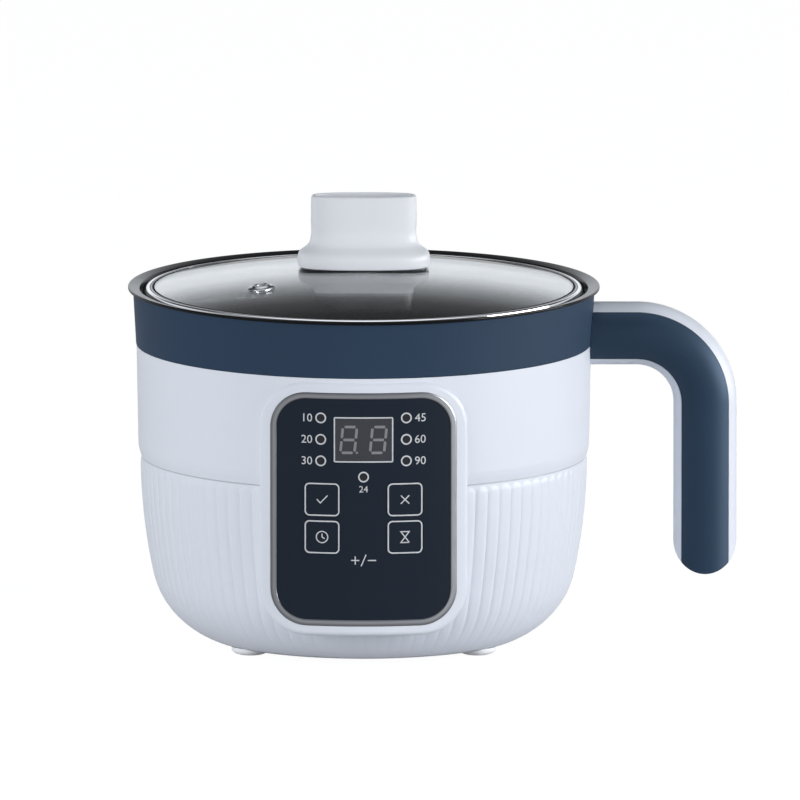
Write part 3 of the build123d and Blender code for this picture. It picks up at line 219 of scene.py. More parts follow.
class FinishColours(bpy.types.PropertyGroup):
    """Colours of the finishes, as plain linear values."""

    white: tint("White", "Moulded white plastic", (0.765, 0.806, 0.885))
    knob: tint("Knob", "White plastic of the lid's knob", (0.765, 0.79, 0.835))
    # The band and the handle's covers are one navy plastic; the covers' darker navy is painted shade.
    band: tint("Band", "Navy of the collar band", (0.032, 0.056, 0.097))
    navy: tint("Navy", "Navy of the handle's covers", (0.0185, 0.038, 0.069))
    panel: tint("Panel", "Control panel and keys", (0.0125, 0.0195, 0.032))
    silver: tint("Silver", "Plated trim", (0.36, 0.37, 0.395))
    smoke: tint("Smoke", "Display lens", (0.05, 0.0535, 0.063))
    segment: tint("Segment", "Unlit display segments", (0.25, 0.25, 0.26))
    ink: tint("Ink", "Printed marks", (0.62, 0.64, 0.67))
    lamp: tint("Lamp", "Unlit lamps", (0.026, 0.027, 0.031))
    coating: tint("Coating", "Non-stick coating of the pot", (0.004, 0.004, 0.0045))
    steel: tint("Steel", "Bright steel", (0.66, 0.66, 0.67))
    rubber: tint("Rubber", "Dark grey seals", (0.075, 0.08, 0.095))
    # Painted light: the feet's white is lighter than the body's white, to make up for the shade under the
    # body.
    feet: tint("Feet", "White of the feet", (0.92, 0.93, 0.95))
    black: tint("Black", "Black parts behind the panel", (0.03, 0.03, 0.033))
    fleck: tint("Fleck", "Flecks in the coating", (0.05, 0.05, 0.052))
    eyelet: tint("Eyelet", "Steel of the steam eyelet", (0.36, 0.37, 0.38))
    aluminium: tint("Aluminium", "Cast heater and sensor", (0.7, 0.7, 0.71))
    board: tint("Board", "Green circuit boards", (0.03, 0.14, 0.07))
    inlet: tint("Inlet", "Black mains inlet", (0.022, 0.022, 0.024))
    brass: tint("Brass", "Pins of the inlet", (0.72, 0.55, 0.25))
    glass: tint("Glass", "Clear glass of the lid", (0.93, 0.95, 0.95))


class StageSettings(bpy.types.PropertyGroup):
    """Camera, floor and lights."""

    lens: FloatProperty(
        name="Lens", description="Focal length", default=1275.5, min=1, subtype="DISTANCE_CAMERA"
    )
    distance: size("Distance", "Camera from its target", 13.0)
    elevation: angle("Elevation", "Camera above the level", 9.25)
    target: FloatVectorProperty(
        name="Target", description="Point that the camera looks at", default=(-0.0149, 0, 0.1114),
        subtype="XYZ", unit="LENGTH",
    )
    floor_reach: size("Floor reach", "Half the floor's side", 30.0)
    floor_colour: tint("Floor", "Floor where light falls on it", (0.6, 0.6, 0.61))
    floor_strength: plain("Floor strength", "Strength of the floor's own white", 1.2)
    floor_glow: plain("Floor glow", "Share of that white where the floor is seen", 0.8)
    floor_mirrored: plain("Floor mirrored", "Share of that white where a surface mirrors it", 0.3)
    key_power: power("Key light", "Lamp in front on the right", 46)
    fill_power: power("Fill light", "Lamp in front on the left", 31)
    gloss_power: power("Gloss light", "Lamp on the right that shows only as a soft gloss", 65)
    ambient: plain("Ambient", "Strength of the surroundings as light, at the horizon", 0.6)


# Meshes from arrays


def grid_faces(rows, columns, wrap_rows=False, wrap_columns=True):
    """Quads of a grid: each joins a point to its neighbours in the next row and column, round if wrapped."""
    row = np.arange(rows if wrap_rows else rows - 1)[:, None]
    column = np.arange(columns if wrap_columns else columns - 1)[None, :]
    next_row = (row + 1) % rows
    next_column = (column + 1) % columns
    corners = [row * columns + column, next_row * columns + column]
    corners += [next_row * columns + next_column, row * columns + next_column]
    return np.stack([np.broadcast_to(c, corners[2].shape) for c in corners], axis=-1).reshape(-1, 4)


def joined(shapes):
    """One list of points and one of quads from several (points, quads) pairs, each shifted past the last."""
    counts = np.cumsum([0] + [len(points) for points, quads in shapes[:-1]])
    points = np.concatenate([points for points, quads in shapes])
    quads = np.concatenate([quads + shift for (_, quads), shift in zip(shapes, counts)])
    return points, quads


def new_piece(name, points, quads, closed=True, sharp=40):
    """Mesh object from arrays of points and of faces.

    A closed one is welded at seams and poles and its faces are turned outwards."""
    mesh = bpy.data.meshes.new(name)
    mesh.from_pydata(np.asarray(points).reshape(-1, 3).tolist(), [], np.asarray(quads).tolist())
    if closed:
        shell = bmesh.new()
        shell.from_mesh(mesh)
        bmesh.ops.remove_doubles(shell, verts=shell.verts, dist=1e-7)
        bmesh.ops.recalc_face_normals(shell, faces=shell.faces)
        shell.to_mesh(mesh)
        shell.free()
    mesh.polygons.foreach_set("use_smooth", np.ones(len(mesh.polygons), dtype=bool))
    mesh.set_sharp_from_angle(angle=np.radians(sharp))
    mesh.validate()
    piece = bpy.data.objects.new(name, mesh)
    bpy.context.scene.collection.objects.link(piece)
    return piece


def vertex_places(mesh):
    """The x, y and z of a mesh's points, as three arrays."""
    places = np.empty(3 * len(mesh.vertices))
    mesh.vertices.foreach_get("co", places)
    return places.reshape(-1, 3).T


def write_shade(mesh, shade):
    """Notes a painted shade for each point of a mesh, as a brightness which its finish reads."""
    layer = mesh.attributes.new("shade", "FLOAT", "POINT")
    layer.data.foreach_set("value", shade.astype(np.float32))


def front_size(low, high, margin=0):
    """Breadth and height of a box in the front view, with a margin all round."""
    return high.x - low.x + 2 * margin, high.z - low.z + 2 * margin


def front_middle(low, high):
    """Middle of a box in the front view, as (sideways from the pot's axis, height)."""
    return np.array([(low.x + high.x) / 2 - AXIS_X, (low.z + high.z) / 2])


def settle(piece, finish, body, slot, *nodes):
    """Gives a piece its finish and body, and lets it stand for the nodes that it replaces; its slot argument
    is not used.
    """
    piece.data.materials.append(finish)
    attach(piece, body)
    if nodes:
        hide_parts(*nodes)
    return piece


def eased(share):
    """Smooth step from 0 to 1, level at both ends."""
    share = np.clip(share, 0, 1)
    return share * share * (3 - 2 * share)


def smooth_curve(places, knots, values):
    """Cubic curve through the knots, with the slope at each from its two neighbours."""
    knots, values = np.asarray(knots, float), np.asarray(values, float)
    slopes = np.gradient(values, knots)
    left = np.clip(np.searchsorted(knots, places, side="right") - 1, 0, len(knots) - 2)
    span = knots[left + 1] - knots[left]
    share = (places - knots[left]) / span
    rise = values[left + 1] - values[left]
    start, end = slopes[left] * span, slopes[left + 1] * span
    square, cube = 3 * rise - 2 * start - end, start + end - 2 * rise
    return values[left] + share * start + share**2 * square + share**3 * cube


def turned(profile, centre, count=192):
    """Profile of (radius, height) pairs carried round an upright axis through centre."""
    angles = np.linspace(0, 2 * np.pi, count, endpoint=False)
    radius, height = np.asarray(profile).T
    x = centre[0] + radius[:, None] * np.cos(angles)
    y = centre[1] + radius[:, None] * np.sin(angles)
    z = np.broadcast_to(centre[2] + height[:, None], x.shape)
    return np.stack([x, y, z], axis=-1)


def arc(middle, radii, start, end, count):
    """Points of an elliptical arc between two angles in degrees."""
    turn = np.radians(np.linspace(start, end, count))
    return np.stack([middle[0] + radii[0] * np.cos(turn), middle[1] + radii[1] * np.sin(turn)], axis=-1)


def rounded_path(corners, radii, steps=10):
    """Run of straight lines in which each inner corner is an arc of its radius, touching both lines.

    The arc turns evenly between the two directions from its middle to where it touches."""
    corners = np.asarray(corners, float)
    runs = [corners[:1]]
    for before, corner, after, radius in zip(corners, corners[1:], corners[2:], radii):
        back = (before - corner) / np.linalg.norm(before - corner)
        ahead = (after - corner) / np.linalg.norm(after - corner)
        half = np.arccos(back @ ahead) / 2
        middle = corner + (back + ahead) / (2 * np.cos(half)) * radius / np.sin(half)
        ways = [(corner + way * radius / np.tan(half) - middle) for way in (back, ahead)]
        turn, share = np.pi - 2 * half, np.linspace(0, 1, steps)[:, None]
        bend = np.sin((1 - share) * turn) * ways[0] + np.sin(share * turn) * ways[1]
        runs.append(middle + bend / np.sin(turn))
    return np.concatenate([*runs, corners[-1:]])


def rounded_outline(breadth, length, corner, middle=(0, 0), steps=14, runs=40):
    """Closed outline of a rectangle with round corners: four quarter circles joined by straight runs.

    Returns its points and the outward directions there."""
    half = np.array([breadth / 2 - corner, length / 2 - corner])
    points, outward = [], []
    for quarter, (across, along) in enumerate(((1, 1), (-1, 1), (-1, -1), (1, -1))):
        turn = np.radians(90 * quarter + np.linspace(0, 90, steps))
        way = np.stack([np.cos(turn), np.sin(turn)], axis=-1)
        bend = half * (across, along) + corner * way
        following = ((-1, 1), (-1, -1), (1, -1), (1, 1))[quarter]
        target = half * following + corner * way[-1]
        share = np.linspace(0, 1, runs, endpoint=False)[1:, None]
        points += [bend, bend[-1] * (1 - share) + target * share]
        outward += [way, np.broadcast_to(way[-1], (len(share), 2))]
    return np.concatenate(points) + middle, np.concatenate(outward)


def on_panel(flat, radius):
    """Points of the front view, (sideways, height), laid on an upright cylinder about the pot's axis."""
    across, height = flat[..., 0], flat[..., 1]
    depth = np.sqrt(np.broadcast_to(radius, across.shape) ** 2 - across**2)
    return np.stack([AXIS_X + across, -depth, np.broadcast_to(height, depth.shape)], axis=-1)


def dense(path, step=0.0007):
    """Points of a run of straight lines, with more between its corners to follow a curved surface."""
    path = np.asarray(path, float)
    lengths = np.concatenate([[0], np.cumsum(np.linalg.norm(np.diff(path, axis=0), axis=1))])
    places = np.union1d(lengths, np.arange(0, lengths[-1], step))
    places = places[np.diff(places, prepend=-1) > step / 100]
    return np.stack([np.interp(places, lengths, path[:, axis]) for axis in (0, 1)], axis=-1)


def stroke(path, width, radius, sheet, closed=False):
    """Flat line of a width along a path in the panel's front view, as a slab over a cylinder of a radius.

    Each path point gives four corners: half a width to either side, at the slab's lower and upper face."""
    path = np.asarray(path, float)
    ahead = np.roll(path, -1, axis=0) - path
    behind = path - np.roll(path, 1, axis=0)
    if not closed:
        ahead[-1], behind[0] = behind[-1], ahead[0]
    ahead /= np.linalg.norm(ahead, axis=1, keepdims=True)
    behind /= np.linalg.norm(behind, axis=1, keepdims=True)
    along = ahead + behind
    along /= np.linalg.norm(along, axis=1, keepdims=True)
    mitre = np.clip(np.sum(along * ahead, axis=1, keepdims=True), 0.45, 1)
    side = np.stack([-along[:, 1], along[:, 0]], axis=-1) / mitre * np.reshape(width, (-1, 1)) / 2
    low, high = radius, radius + sheet
    corners = [(path - side, low), (path - side, high), (path + side, high), (path + side, low)]
    points = np.stack([on_panel(flat, level) for flat, level in corners], axis=1)
    quads = grid_faces(len(path), 4, wrap_rows=closed)
    if not closed:
        last = 4 * (len(path) - 1)
        quads = np.concatenate([quads, [[0, 1, 2, 3], [last + 3, last + 2, last + 1, last]]])
    return points.reshape(-1, 3), quads


# Finishes


def node_group(name, inputs, outputs):
    """Shader node group with named inputs (type, default) and outputs; returns it with its two end nodes."""
    group = bpy.data.node_groups.new(name, "ShaderNodeTree")
    for label, (kind, default) in inputs.items():
        socket = group.interface.new_socket(label, in_out="INPUT", socket_type=kind)
        socket.default_value = default
    for label, kind in outputs.items():
        group.interface.new_socket(label, in_out="OUTPUT", socket_type=kind)
    return group, group.nodes.new("NodeGroupInput"), group.nodes.new("NodeGroupOutput")


def feed(tree, value, socket):
    """Links an output to a socket, or sets the socket to a plain value."""
    if isinstance(value, bpy.types.NodeSocket):
        tree.links.new(value, socket)
    else:
        socket.default_value = value


def noise(tree, scale, detail, vector=None):
    """Noise texture on the piece's own coordinates, as a value from 0 to 1."""
    texture = tree.nodes.new("ShaderNodeTexNoise")
    if vector is None:
        vector = tree.nodes.new("ShaderNodeTexCoord").outputs["Object"]
    for label, value in (("Vector", vector), ("Scale", scale), ("Detail", detail)):
        feed(tree, value, texture.inputs[label])
    return texture.outputs["Fac"]


def reckon(tree, operation, *values):
    """Math node over sockets or plain numbers."""
    node = tree.nodes.new("ShaderNodeMath")
    node.operation = operation
    for socket, value in zip(node.inputs, values):
        feed(tree, value, socket)
    return node.outputs[0]


def mixed(tree, share, first, second):
    """Colour mix of two sockets or plain colours by a share."""
    node = tree.nodes.new("ShaderNodeMix")
    node.data_type = "RGBA"
    for socket, value in zip((node.inputs["Factor"], *node.inputs[6:8]), (share, first, second)):
        feed(tree, value, socket)
    return node.outputs[2]


def swing(tree, pattern, spread):
    """A pattern from 0 to 1 as a swing about zero, as wide as the spread."""
    return reckon(tree, "MULTIPLY", reckon(tree, "SUBTRACT", pattern, 0.5), spread)


COLOUR, VALUE = "NodeSocketColor", "NodeSocketFloat"
SKIN_OUTPUTS = {"Colour": COLOUR, "Roughness": VALUE, "Height": VALUE}


def put_out(group, end, *values):
    """Links a skin's colour, roughness and height to the group's outputs."""
    for label, value in zip(SKIN_OUTPUTS, values):
        feed(group, value, end.inputs[label])
    return group


def moulded_skin():
    """Group for moulded plastic: faint clouds in the colour, uneven gloss and a fine grain."""
    group, start, end = node_group(
        "moulded_skin",
        {
            "Colour": (COLOUR, (0.8, 0.8, 0.8, 1)),
            "Clouds": (VALUE, 0.04),
            "Gloss": (VALUE, 0.35),
            "Gloss spread": (VALUE, 0.08),
            "Grain": (VALUE, 2500),
        },
        SKIN_OUTPUTS,
    )
    cloud = noise(group, 24, 3)
    fine = noise(group, start.outputs["Grain"], 2)
    share = reckon(group, "MULTIPLY", cloud, start.outputs["Clouds"])
    colour = mixed(group, share, start.outputs["Colour"], (0, 0, 0, 1))
    uneven = swing(group, noise(group, 60, 2), start.outputs["Gloss spread"])
    return put_out(group, end, colour, reckon(group, "ADD", start.outputs["Gloss"], uneven), fine)


def brushed_skin():
    """Group for metal: long scratches one way in the gloss and the height, clouds in the colour."""
    group, start, end = node_group(
        "brushed_skin",
        {
            "Colour": (COLOUR, (0.6, 0.6, 0.6, 1)),
            "Gloss": (VALUE, 0.2),
            "Gloss spread": (VALUE, 0.12),
            "Grain": (VALUE, 900),
        },
        SKIN_OUTPUTS,
    )
    place = group.nodes.new("ShaderNodeTexCoord")
    stretch = group.nodes.new("ShaderNodeMapping")
    stretch.inputs["Scale"].default_value = (0.06, 0.06, 1)
    group.links.new(place.outputs["Object"], stretch.inputs["Vector"])
    scratch = noise(group, start.outputs["Grain"], 3, stretch.outputs["Vector"])
    cloud = reckon(group, "MULTIPLY", noise(group, 35, 2), 0.12)
    colour = mixed(group, cloud, start.outputs["Colour"], (0, 0, 0, 1))
    uneven = swing(group, scratch, start.outputs["Gloss spread"])
    return put_out(group, end, colour, reckon(group, "ADD", start.outputs["Gloss"], uneven), scratch)


def speckled_skin():
    """Group for the non-stick coating: small paler flecks, uneven gloss and a pebbled height."""
    group, start, end = node_group(
        "speckled_skin",
        {
            "Colour": (COLOUR, (0.02, 0.02, 0.02, 1)),
            "Fleck": (COLOUR, (0.1, 0.1, 0.1, 1)),
            "Gloss": (VALUE, 0.25),
            "Grain": (VALUE, 1400),
        },
        SKIN_OUTPUTS,
    )
    pebble = noise(group, start.outputs["Grain"], 2)
    fleck = reckon(group, "GREATER_THAN", noise(group, 2200, 1), 0.72)
    colour = mixed(group, fleck, start.outputs["Colour"], start.outputs["Fleck"])
    uneven = reckon(group, "MULTIPLY", noise(group, 45, 2), 0.1)
    return put_out(group, end, colour, reckon(group, "ADD", start.outputs["Gloss"], uneven), pebble)


SKINS = {}


def finish(name, skin, values, bump=0.02, grain=0.00005, shade=None, **shader):
    """Principled material whose colour, gloss and fine relief come from one of the skin groups.

    The piece's own attribute named by shade, if any, dims the colour as painted shade."""
    if skin not in SKINS:
        SKINS[skin] = skin()
    material = bpy.data.materials.new(name)
    material.use_nodes = True
    tree = material.node_tree
    principled = tree.nodes["Principled BSDF"]
    surface = tree.nodes.new("ShaderNodeGroup")
    surface.node_tree = SKINS[skin]
    for label, value in values.items():
        surface.inputs[label].default_value = (*value, 1) if hasattr(value, "__len__") else value
    relief = tree.nodes.new("ShaderNodeBump")
    relief.inputs["Strength"].default_value = bump
    relief.inputs["Distance"].default_value = grain
    tree.links.new(surface.outputs["Height"], relief.inputs["Height"])
    colour = surface.outputs["Colour"]
    if shade:
        dim = tree.nodes.new("ShaderNodeAttribute")
        dim.attribute_name = shade
        colour = mixed(tree, dim.outputs["Fac"], (0, 0, 0, 1), colour)
    tree.links.new(colour, principled.inputs["Base Color"])
    tree.links.new(surface.outputs["Roughness"], principled.inputs["Roughness"])
    tree.links.new(relief.outputs["Normal"], principled.inputs["Normal"])
    for label, value in shader.items():
        principled.inputs[label.replace("_", " ")].default_value = value
    return material


def plastic(name, colour, gloss, bump=0.15, clouds=0.03, **shader):
    """Moulded plastic of a colour and gloss."""
    values = {"Colour": colour, "Gloss": gloss, "Clouds": clouds}
    return finish(name, moulded_skin, values, bump=bump, **shader)


def metal(name, colour, gloss, spread=0.1, bump=0.1, shade=None):
    """Brushed metal of a colour and gloss."""
    values = {"Colour": colour, "Gloss": gloss, "Gloss spread": spread}
    return finish(name, brushed_skin, values, bump=bump, grain=0.00002, shade=shade, Metallic=1.0)


def metal_with_painted_shade(name, colour, gloss):
    """Bright metal with painted shade: down in its folds, where the piece's own shade is low, it turns matt
    black.
    """
    values = {"Colour": colour, "Gloss": gloss, "Gloss spread": 0.04}
    material = finish(
        name, brushed_skin, values, bump=0.02, grain=0.00002, shade="shade", Specular_IOR_Level=0.0
    )
    tree = material.node_tree
    tree.links.new(tree.nodes["Attribute"].outputs["Fac"], tree.nodes["Principled BSDF"].inputs["Metallic"])
    return material


# How much the knob is dimmed for mirrored rays, by the share of its height
KNOB_FADE = ((0, 0), (0.5, 0), (0.54, 0.62), (0.8, 0.84), (1, 0.9))


def knob_plastic(name, colour):
    """White plastic whose upper half is as dim as the room where glass mirrors it, for a shorter image."""
    material = plastic(name, colour, 0.4, Specular_IOR_Level=0.25)
    tree = material.node_tree
    base = tree.nodes["Principled BSDF"].inputs["Base Color"]
    parts = tree.nodes.new("ShaderNodeSeparateXYZ")
    tree.links.new(tree.nodes.new("ShaderNodeTexCoord").outputs["Object"], parts.inputs["Vector"])
    share = tree.nodes.new("ShaderNodeMapRange")
    tree.links.new(parts.outputs["Z"], share.inputs["Value"])
    share.inputs["From Min"].default_value, share.inputs["From Max"].default_value = knob_low.z, knob_high.z
    fade = ramp_of(tree, share.outputs["Result"], KNOB_FADE)
    mirrored = tree.nodes.new("ShaderNodeLightPath").outputs["Is Glossy Ray"]
    dim = reckon(tree, "MULTIPLY", mirrored, fade)
    tree.links.new(mixed(tree, dim, base.links[0].from_socket, (0.02, 0.02, 0.02, 1)), base)
    return material


def clear_glass(name, colour):
    """Clear glass with faint uneven gloss."""
    values = {"Colour": colour, "Gloss": 0.02, "Gloss spread": 0.03, "Clouds": 0.02}
    return finish(name, moulded_skin, values, bump=0.01, Transmission_Weight=1.0, IOR=1.5)


def make_finishes(colours):
    """All finishes by the record's slot names, with the print inks beside them."""
    satin = {"Specular_IOR_Level": 0.42, "Specular_Tint": (0.55, 0.75, 1, 1)}
    soft = {"Specular_IOR_Level": 0.25}
    coating = {"Colour": colours.coating, "Fleck": colours.fleck, "Gloss": 0.1}
    return {
        "white_plastic": plastic("white_plastic", colours.white, 0.4, **soft),
        # The ribbed skirt's finish reads its painted shade under the seam.
        "ribbed_plastic": plastic("ribbed_plastic", colours.white, 0.4, shade="shade", **soft),
        "knob_plastic": knob_plastic("knob_plastic", colours.knob),
        # The feet's lighter white is painted light against the shade under the body.
        "white_feet": plastic("white_feet", colours.feet, 0.55),
        "base_plastic": plastic("base_plastic", colours.white, 0.65, bump=0.4),
        # navy_plastic is a darker copy of the band's navy plastic: painted shade.
        "navy_plastic": plastic("navy_plastic", colours.navy, 0.5, bump=0.2, clouds=0.08, **satin),
        "navy_band": plastic("navy_band", colours.band, 0.5, bump=0.2, clouds=0.08, Specular_IOR_Level=0.06),
        "panel_navy": plastic("panel_navy", colours.panel, 0.32, clouds=0.12, Specular_IOR_Level=0.12),
        # The trim's finish reads its painted shade along its edges.
        "silver_trim": metal("silver_trim", colours.silver, 0.34, shade="shade"),
        "display_lens": plastic("display_lens", colours.smoke, 0.28, clouds=0.1, Specular_IOR_Level=0.2),
        "display_body": plastic("display_body", colours.black, 0.5),
        "lamp_lens": plastic("lamp_lens", colours.lamp, 0.35, clouds=0.15, Specular_IOR_Level=0.15),
        "nonstick": finish("nonstick", speckled_skin, coating, bump=0.08, Specular_IOR_Level=0.12),
        "lid_glass": clear_glass("lid_glass", colours.glass),
        "steel": metal("steel", colours.steel, 0.14),
        "rim_steel": metal_with_painted_shade("rim_steel", colours.steel, 0.05),
        "dark_steel": metal("dark_steel", colours.eyelet, 0.16),
        "aluminium": metal("aluminium", colours.aluminium, 0.4),
        "silicone": plastic("silicone", colours.rubber, 0.6),
        "board": plastic("board", colours.board, 0.45, clouds=0.2),
        "inlet_plastic": plastic("inlet_plastic", colours.inlet, 0.45),
        "brass": metal("brass", colours.brass, 0.3),
        "ink": plastic("ink", colours.ink, 0.55, clouds=0.08),
        "segment": plastic("segment", colours.segment, 0.5, clouds=0.25),
    }


FINISHES = {}


class MULTICOOKER_OT_solids(bpy.types.Operator):
    """Gives every solid of the frame the finish of its record slot"""

    bl_idname = "multicooker.solids"
    bl_label = "Finish the solids"

    def execute(self, context):
        FINISHES.update(make_finishes(context.scene.cooker_colours))
        for part in frame["record"]["subparts"]:
            node = frame["nodes"][part["node"]]
            material = FINISHES["navy_band" if part["node"] == "collar_band" else part["material_slot"]]
            if not node.material_slots:
                node.data.materials.append(material)
            for slot in node.material_slots:
                slot.material = material
        return {"FINISHED"}


def wall_points(body, count):
    """Lower wall from the seam down: a bow of a large radius, then one arc that ends on the flat underside.

    Both arcs turn by the same angle that their normal leans down. The points are closer at the seam and at
    the ribs' round tops. Returns points and normals as (radius, height)."""
    bow_turn = np.arcsin((body.seam_height - body.corner_height) / body.bow_radius)
    bow_end = body.wall_radius - body.bow_radius * (1 - np.cos(bow_turn))
    inward, drop = bow_end - body.base_radius, body.corner_height - housing_low.z
    chord = np.hypot(inward, drop)
    corner_radius = chord**2 / (2 * (inward * np.cos(bow_turn) - drop * np.sin(bow_turn)))
    corner_turn = 2 * np.arcsin(chord / (2 * corner_radius))
    lengths = body.bow_radius * bow_turn, corner_radius * corner_turn
    line, crown = body.seam_line, body.rib_drop + np.pi * body.wall_radius / body.rib_count
    fine = np.concatenate([np.arange(3) * line, np.linspace(3 * line, crown, 9)])
    along = np.concatenate([fine, np.linspace(crown, sum(lengths), count - len(fine) + 1)[1:]])
    past = along - lengths[0]
    turn = np.where(past < 0, along / body.bow_radius, bow_turn + past / corner_radius)
    normal = np.stack([np.cos(turn), -np.sin(turn)], axis=-1)
    bow_middle = np.array([body.wall_radius - body.bow_radius, body.seam_height])
    bow_way = np.array([np.cos(bow_turn), -np.sin(bow_turn)])
    corner_middle = bow_middle + (body.bow_radius - corner_radius) * bow_way
    on_bow, on_corner = bow_middle + body.bow_radius * normal, corner_middle + corner_radius * normal
    points = np.where((past < 0)[:, None], on_bow, on_corner)
    return points, normal


def inside_outline(x, z, low, high, margin, corner):
    """How far points in the front view lie inside a box's outline with a margin and round corners.

    It is the corner radius less the distance to the rectangle that is smaller by that radius."""
    half, middle = np.array(front_size(low, high, margin)) / 2 - corner, front_middle(low, high)
    out_x, out_z = np.abs(x - AXIS_X - middle[0]) - half[0], np.abs(z - middle[1]) - half[1]
    outside = np.hypot(np.maximum(out_x, 0), np.maximum(out_z, 0))
    return corner - outside - np.minimum(np.maximum(out_x, out_z), 0)


class MULTICOOKER_OT_skirt(bpy.types.Operator):
    """Makes the ribbed skirt of the lower body"""

    bl_idname = "multicooker.skirt"
    bl_label = "Ribbed skirt"

    def execute(self, context):
        body = context.scene.cooker_body
        rows, columns = 44, 12 * body.rib_count
        wall, normal = wall_points(body, rows)
        turn = np.linspace(0, 2 * np.pi, columns, endpoint=False)
        # A rib falls with the cube of the distance from its middle line, so it is broad and the groove
        # narrow. That line ends half a rib below the rib's top, so the top is round, and the ribs fade out at
        # the bottom.
        period = 2 * np.pi / body.rib_count
        off_middle = ((turn / period) % 1 - 0.5) * period
        half = body.wall_radius * period / 2
        sideways = off_middle[None, :] * body.wall_radius
        above = np.maximum(wall[:, 1:2] - (body.seam_height - body.rib_drop - half), 0)
        away = np.minimum(np.hypot(sideways, above) / half, 1)
        fade = eased((wall[:, 1:2] - housing_low.z) / (body.corner_height - housing_low.z))
        height = body.skirt_lift + body.rib_depth * fade * (1 - away**3)
        radius = wall[:, :1] + normal[:, :1] * height
        level = wall[:, 1:2] + normal[:, 1:2] * height
        points = np.stack([AXIS_X + radius * np.cos(turn), radius * np.sin(turn), level], axis=-1)
        quads = grid_faces(rows, columns)
        # Faces well inside the panel's island in front, or inside the inlet's boss behind, are left out.
        x, y, z = points.reshape(-1, 3)[quads].mean(axis=1).T
        in_island = inside_outline(x, z, trim_low, trim_high, body.island_margin, body.island_corner)
        in_boss = inside_outline(x, z, inlet_low, inlet_high, body.boss_margin, body.boss_margin)
        buried = np.where(y < 0, in_island > body.island_tuck, in_boss > body.boss_tuck)
        used, kept = np.unique(quads[~buried], return_inverse=True)
        skirt = new_piece("ribbed_skirt", points.reshape(-1, 3)[used], kept.reshape(-1, 4), closed=False)
        wall_sheet = skirt.modifiers.new("sheet", "SOLIDIFY")
        wall_sheet.thickness = body.skirt_sheet
        wall_sheet.offset = -1
        # Painted shade: the skirt's rows just under the seam are dimmed to the seam shade, for the shadow in
        # the seam's step.
        below = body.seam_height - vertex_places(skirt.data)[2]
        write_shade(skirt.data, np.interp(below, (body.seam_line, 2 * body.seam_line), (body.seam_shade, 1)))
        settle(skirt, FINISHES["ribbed_plastic"], "cooker", "white_plastic")
        return {"FINISHED"}


class MULTICOOKER_OT_pot(bpy.types.Operator):
    """Makes the coated pot with its rolled lip"""

    bl_idname = "multicooker.pot"
    bl_label = "Pot"

    def execute(self, context):
        pot = context.scene.cooker_pot
        outer, top, low, sheet = (pot_high.x - pot_low.x) / 2, pot_high.z, pot_low.z, pot.sheet
        lip_low = top - (outer - pot.lip_radius) * np.tan(pot.lip_rise)
        # Inside from the middle of the floor out to the lip's edge, then back along the outside.
        inside = rounded_path(
            [
                (0, low + sheet), (pot.wall_radius, low + sheet), (pot.wall_radius, pot.shoulder_height),
                (pot.ledge_radius, pot.ledge_height), (pot.mouth_radius, pot.ledge_height),
                (pot.mouth_radius, lip_low - pot.lip_way), (pot.lip_radius, lip_low), (outer, top),
                (outer, top - pot.lip_edge),
            ],
            [
                pot.floor_corner, pot.shoulder_corner, pot.ledge_corner, pot.ledge_corner, pot.ledge_corner,
                pot.lip_corner, pot.lip_round,
            ],
        )
        back = pot.lip_radius + sheet / 10
        outside = [
            (outer, top - pot.lip_edge), (back, top - pot.lip_edge - sheet / 2),
            (back, pot.ledge_height - sheet), (pot.ledge_radius, pot.ledge_height - sheet),
            (pot.wall_radius + sheet, pot.shoulder_height - sheet), (pot.wall_radius + sheet, low), (0, low),
        ]
        corners = [sheet / 8] + [sheet / 4] * 3 + [pot.floor_corner + sheet]
        profile = np.concatenate([inside, rounded_path(outside, corners)[1:]])
        points = turned(profile, (AXIS_X, 0, 0), 256)
        piece = new_piece("coated_pot", points, grid_faces(len(profile), 256), sharp=50)
        settle(piece, FINISHES["nonstick"], "cooker", "nonstick", "pot")
        return {"FINISHED"}


# The knob's outer face from its base up: shares of its height, width and depth
KNOB_SHARES = (
    (0.0, 0.985, 0.98),
    (0.02, 0.995, 0.993),
    (0.06, 1.0, 1.0),
    (0.14, 0.998, 0.992),
    (0.18, 0.985, 0.96),
    (0.21, 0.962, 0.9),
    (0.25, 0.905, 0.78),
    (0.29, 0.853, 0.665),
    (0.33, 0.825, 0.598),
    (0.39, 0.806, 0.553),
    (0.65, 0.8, 0.54),
    (1.0, 0.795, 0.53),
)


